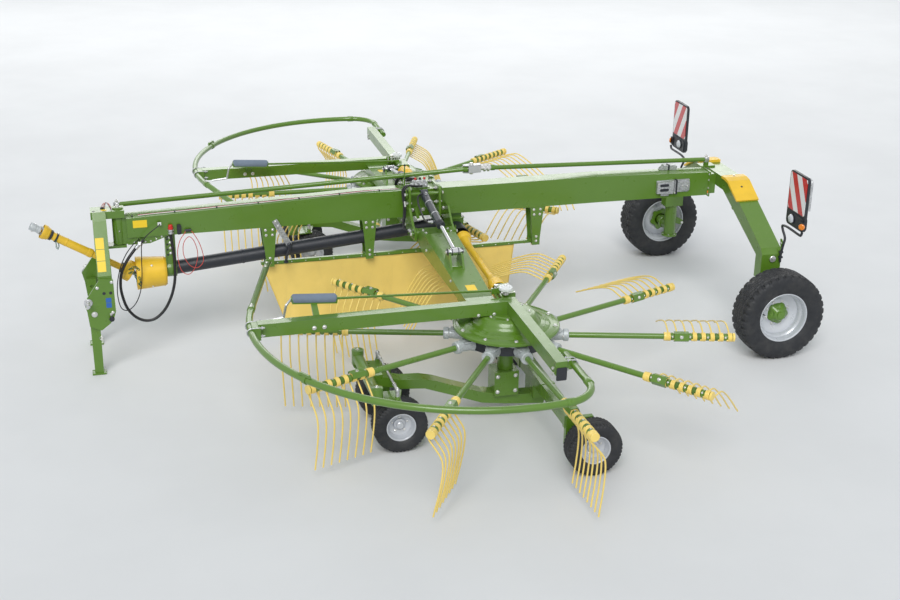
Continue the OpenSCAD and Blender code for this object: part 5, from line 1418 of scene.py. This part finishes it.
# Guard rail: middle, radius and height of its outer arc, its first angle, and its straights
RAIL_X, RAIL_Y, RAIL_R, RAIL_Z = 330, 1960, 1585, 960
RAIL_START = math.radians(-15.5)
RAIL_TAIL = 978
RAIL_END_X = -114


def on_rail(angle):
    """Point of the guard rail's outer arc and the direction outwards there."""
    out = np.array([math.cos(angle), math.sin(angle), 0])
    return np.array([RAIL_X, RAIL_Y, RAIL_Z]) + RAIL_R * out, out


def finger_grips(r, t):
    """Share of the radius that is left in the handwheel's rim, which has ten grips."""
    return 0.87 if r > 40 and math.cos(10 * t) > 0.25 else 1


def make_guards():
    for side, s in SIDES:
        trim = Piece(f"guard_fittings_{side}", f"boom_{side}", "zinc_steel", m_zinc, m_bolt, m_foam,
                     m_green, m_white, m_black, m_red,
                     side=s, bevel=0.7)
        # U-bolts round the rail in front of the bearer, and two at the rear clamp
        for y in (1842, 1968):
            x = RAIL_X + math.sqrt(RAIL_R ** 2 - (y - RAIL_Y) ** 2)
            trim.add(u_bolt((x, y, RAIL_Z), (-(y - RAIL_Y) / RAIL_R, 1, 0), (1, 0, 0), 30.5, 5.5, 96))
        for y in (2948, 2992):
            trim.add(u_bolt((RAIL_END_X, y, RAIL_Z), (0, 1, 0), (-1, 0, 0), 30.5, 5.5, 62))
        # Foam sleeve in its tray, with the slot where it is split
        a, b = np.array([1266.0, 1720, 1063]), np.array([1580.0, 1720, 1086.3])
        q = (b - a) / np.linalg.norm(b - a)
        trim.add(lathe([(16, -6), (28, -4), (35, 3), (37, 12), (37, 304), (35, 313), (28, 320), (16, 322)],
                       a, q, 48), 2)
        up = np.cross(q, (0, -1, 0)) * 0.66 + np.array([0, 0.75, 0])
        trim.add(tube(smooth_path([a + q * 30 + up * 36, a + q * 42 + up * 37, a + q * 276 + up * 37,
                                   a + q * 288 + up * 36], 5), 3, 8))
        # Bolts on bearer and sleeves of the rail
        for x in (1388, 1462):
            trim.add(bolt((x, 1930, 936), (0, 1, 0), 11), 1)
            trim.add(bolt((x, 1850, 936), (0, -1, 0), 11), 1)
        for x in (120, 240):
            trim.add(bolt((x, 1930, 910), (0, 1, 0), 9), 1)
        # Joint of the rail's lengths, and its inner end
        p0, _ = on_rail(RAIL_START)
        d0 = np.array([math.sin(RAIL_START), -math.cos(RAIL_START), 0])
        for h in (-16, 16):
            trim.add(bolt(p0 + d0 * h + (0, 0, 28), (0, 0, 1), 7), 1)
        inner, back = p0 + d0 * RAIL_TAIL, -d0
        trim.add(lathe([(25, 4), (27, 6), (27, 26), (25, 28)], inner, back, 32), 3)
        trim.add(lathe([(1, 2), (20, 2), (24, 0), (24, -3), (18, -5), (1, -5)], inner, back, 32), 5)
        for h in (90, 170):
            trim.add(bolt(inner + back * h + (0, 0, 24.5), (0, 0, 1), 8), 1)
        # Green clip on the outer curve
        ang = math.atan2(2778 - RAIL_Y, 1633 - RAIL_X)
        c, out = on_rail(ang)
        along = np.array([-math.sin(ang), math.cos(ang), 0])
        trim.add(lathe([(25, 0), (31, 0), (31, 34), (25, 34)], c - along * 17, along, 32, closed=True), 3)
        trim.add(moved(prism([(-60, 26), (60, 26), (44, 46), (-44, 46)], "y", -30, -14),
                       Matrix.Translation(c - out * 14) @ Matrix.Rotation(ang + math.pi / 2, 4, "Z")), 3)
        # Mitred rear bar: black end plug and bolts
        trim.add(prism([(-20 + x, 910 + z) for x, z in rounded(74, 94, 8)], "y", 3020, 3027), 5)
        for z in (930, 890):
            trim.add(bolt((20, 2960, z), (1, 0, 0), 9), 1)
        # Rotor top: threaded post, white handwheel, cross bars and brackets of the height adjustment
        h = np.array([-10.0, 1786, 0])
        trim.add(lathe([(21, 998), (21, 1030), (16, 1034)], h, (0, 0, 1), 24), 1)
        for z in range(1000, 1030, 5):
            trim.add(ring(h + (0, 0, z), (0, 0, 1), 21, 1.4, 28), 1)
        wheel = [(20, 1034), (49, 1034.4), (51.2, 1038), (51.2, 1056), (49, 1059.4), (33, 1060),
                 (31.6, 1069.6), (14, 1070)]
        trim.add(lathe(wheel, h, (0, 0, 1), 80, lobes=finger_grips), 4)
        trim.add(bolt(h + (0, 0, 1069), (0, 0, 1), 9), 1)
        for x in (26, 60):
            trim.add(block((x, 1722, 994), (x + 12, 1850, 1004)), 3)
        trim.add(rod((50, 1742, 990), (50, 1742, 1062), 9, 16), 1)
        trim.add(rod((84, 1742, 990), (84, 1742, 1040), 7, 16), 1)
        for z in (1006, 1030, 1052):
            trim.add(lathe([(15, 0), (16, 1), (16, 11), (15, 12)], (50, 1742, z), (0, 0, 1), 6), 1)
        trim.add(block((30, 1764, 1004), (96, 1772, 1046)), 3)
        trim.done()


# ROTORS

def make_rotors():
    for side, s in SIDES:
        cover = Piece(f"rotor_cover_fittings_{side}", f"boom_{side}", "green_paint", m_green, m_bolt,
                      m_black, side=s, bevel=0.6)
        cx, cy = 0.0, float(ROTOR_Y)
        for k in range(10):
            t = math.radians(36 * k + 12)
            cover.add(bolt((cx + 366 * math.cos(t), cy + 366 * math.sin(t), 801.5), (0, 0, 1), 11), 1)
        for k in range(8):
            t = math.radians(45 * k + 30)
            x, y = cx + 170 * math.cos(t), cy + 170 * math.sin(t)
            if not (60 < x < 290 and y < 1705):
                cover.add(bolt((x, y, 893.4), (0, 0, 1), 8), 1)
        for r, z in ((383, 800), (291, 816.5)):
            cover.add(ring((cx, cy, z), (0, 0, 1), r, 2.6, 96))
        # Cam box and its plate in front, gusset ribs by the bearer
        cover.add(prism([(300 + x, 1760 + y) for x, y in rounded(110, 80, 10)], "z", 800, 838))
        cover.add(bolt((330, 1760, 838), (0, 0, 1), 9), 1)
        cover.add(bolt((272, 1760, 838), (0, 0, 1), 9), 1)
        for x in (-84, 14):
            for y in (1598, 1770):
                cover.add(bolt((x, y, 1000), (0, 0, 1), 8), 1)
        cover.add(prism([(-35 + x, 1690 + y) for x, y in rounded(96, 200, 12)], "z", 1000, 1006))
        cover.done()
        hub = Piece(f"rotor_hub_star_{side}", f"rotor_{side}", "hub_iron", m_hub, m_bolt, m_black, side=s,
                    bevel=1.2)
        phase = math.radians(PHASE[side])
        star = []
        for k in range(10):
            for off, r in ((0, 420), (5, 412), (9, 330), (18, 312), (27, 330), (31, 412)):
                t = phase + math.radians(36 * k + off)
                star.append((r * math.cos(t), cy + r * math.sin(t)))
        hub.add(prism(star, "z", 734, 746))
        for k in range(10):
            t = phase + math.radians(36 * k + 18)
            c, e = math.cos(t), math.sin(t)
            hub.add(bolt((306 * c, cy + 306 * e, 734), (0, 0, -1), 9), 1)
            # Black band between the sockets under the flange
            arc = [(r * math.cos(t + math.radians(o)), cy + r * math.sin(t + math.radians(o)))
                   for r, offs in ((324, (-10, -5, 0, 5, 10)), (296, (10, 5, 0, -5, -10))) for o in offs]
            hub.add(prism(arc, "z", 668, 734), 2)
            # Clamp bolt across each socket's mouth
            t = phase + math.radians(36 * k)
            c, e = math.cos(t), math.sin(t)
            hub.add(lathe([(30, 322), (37, 336), (36, 400), (34, 446), (31, 452), (24, 454)],
                          (0, cy, ARM_Z), (c, e, 0), 32))
            for r in (352, 430):
                for w in (-1, 1):
                    at = (r * c - w * 36 * e, cy + r * e + w * 36 * c, ARM_Z)
                    hub.add(bolt(at, (-w * e, w * c, 0), 8), 1)
        hub.done()
        gear = Piece(f"chassis_fittings_{side}", f"boom_{side}", "green_paint", m_green, m_bolt, m_black,
                     side=s, bevel=0.7)
        for y in (-335, 335):
            gear.add(lathe([(47, 0), (47, 6), (40, 9), (1, 10)], (1068, cy + y, 535), (0, 0, 1), 36))
            gear.add(bolt((1068, cy + y, 544), (0, 0, 1), 9), 1)
        for y in (-86.5, 86.5):
            e = 1 if y > 0 else -1
            for x, z in ((-60, 270), (80, 270), (-60, 395), (80, 395)):
                gear.add(bolt((x, cy + y - e * 1.5, z), (0, e, 0), 11, True), 1)
        for y in (-790, -260, 260, 790):
            gear.add(block((-306, cy + y - 20, 296), (-194, cy + y + 20, 394)))
            gear.add(bolt((-250, cy + y, 394), (0, 0, 1), 9), 1)
        for y in (-810, 810):
            e = 1 if y > 0 else -1
            gear.add(lathe([(30, 0), (30, 10), (20, 16)], (-366, cy + y + e * 20, 203), (0, e, 0), 30))
            gear.add(bolt((-366, cy + y - e * 20, 203), (0, -e, 0), 14), 1)
        gear.done()
        tie = Piece(f"tie_rod_joints_{side}", f"tie_rod_{side}", "zinc_steel", m_zinc, m_bolt, side=s,
                    bevel=0.5)
        for e in (-1, 1):
            y = cy + e * 335
            tie.add(rod((915, y - e * 96, 500), (915, y - e * 20, 500), 12, 18))
            tie.add(lathe([(14, 0), (15, 1), (15, 13), (14, 14)], (915, y - e * 110, 500), (0, e, 0), 6), 1)
            tie.add(lathe([(1, -15), (12, -12), (17, -4), (17, 4), (12, 12), (1, 15)], (915, y, 502),
                          (0, 0, 1), 24))
            tie.add(bolt((915, y, 514), (0, 0, 1), 7), 1)
        tie.done()
        for name, e in (("caster_out", 1), ("caster_in", -1)):
            fork = Piece(f"{name}_fittings_{side}", f"{name}_{side}", "green_paint", m_green, m_bolt,
                         side=s, bevel=0.5)
            face = cy + e * (283 - 82.5 - 18)
            fork.add(bolt((889, face - e * 6, 203), (0, -e, 0), 13), 1)
            fork.add(bolt((1068, cy + e * 335, 415), (0, 0, -1), 11), 1)
            for x in (950, 1010):
                fork.add(bolt((x, face - e * 6, 395), (0, -e, 0), 8), 1)
            fork.done()


# CAD PIECES THAT STAY: better finish and rounded edges

ROUNDED = {"main_beam": 5, "rear_arch": 6, "headstock": 3, "centre_frame": 3, "gearbox": 8,
           "curtain_frame": 2.5,
           "steering_rod": 2, "boom": 6, "rotor_housing": 3, "guard": 3, "chassis": 5, "stand_leg": 3,
           "knuckle": 3,
           "caster_out": 2, "caster_in": 2, "wheel_chocks": 3}


# Bare metal and plastic that belong to a green CAD piece
ZONED = {
    "guard": paint("guard_paint", GREEN, zones=[((1594, 1690, 880), (1812, 1750, 1110), STEEL_TINT, 0.85,
                                                 0.32)]),
    "rotor_housing": paint("housing_paint", GREEN, zones=[((-68, 1726, 1034.5), (48, 1846, 1076),
                                                           srgb(228, 230, 228), 0.0, 0.4),
                                                           ((-34, 1762, 1000.5), (14, 1810, 1034.5),
                                                            STEEL_TINT, 0.85, 0.35)]),
    "steering_rod": paint("rod_paint", GREEN, zones=[((-346, 28, 1380), (-234, 92, 1440), STEEL_TINT, 0.8,
                                                      0.36)]),
    "headstock": paint("headstock_paint", GREEN, zones=[((2990, 349, 620), (3026, 480, 660), STEEL_TINT,
                                                         0.85, 0.3)]),
}


def dress_cad():
    slots = {p["node"]: p.get("material_slot") for p in frame["record"]["subparts"]}
    for name, obj in nodes.items():
        if obj.hide_render:
            continue
        plain = name.replace("_left", "").replace("_right", "")
        mat = ZONED.get(plain) or BY_SLOT.get(slots.get(name), m_green)
        for k in range(len(obj.material_slots)):
            obj.material_slots[k].link = "OBJECT"
            obj.material_slots[k].material = mat
        if plain in ROUNDED:
            weld = obj.modifiers.new("weld", "WELD")
            weld.merge_threshold = 0.00002
            flat = obj.modifiers.new("flat", "DECIMATE")
            flat.decimate_type, flat.angle_limit = "DISSOLVE", math.radians(0.3)
            mod = obj.modifiers.new("edges", "BEVEL")
            mod.width, mod.segments = ROUNDED[plain] / 1000, 2
            mod.limit_method, mod.angle_limit = "ANGLE", math.radians(38)
            mod.harden_normals = False


make_stage()
make_cords()
make_curtain()
make_rear_wheels()
make_small_wheels()
make_tines()
make_boards()
make_headstock()
make_pto()
make_beam_front()
make_centre()
make_steering_rod()
make_tail()
make_arms()
make_guards()
make_rotors()
dress_cad()
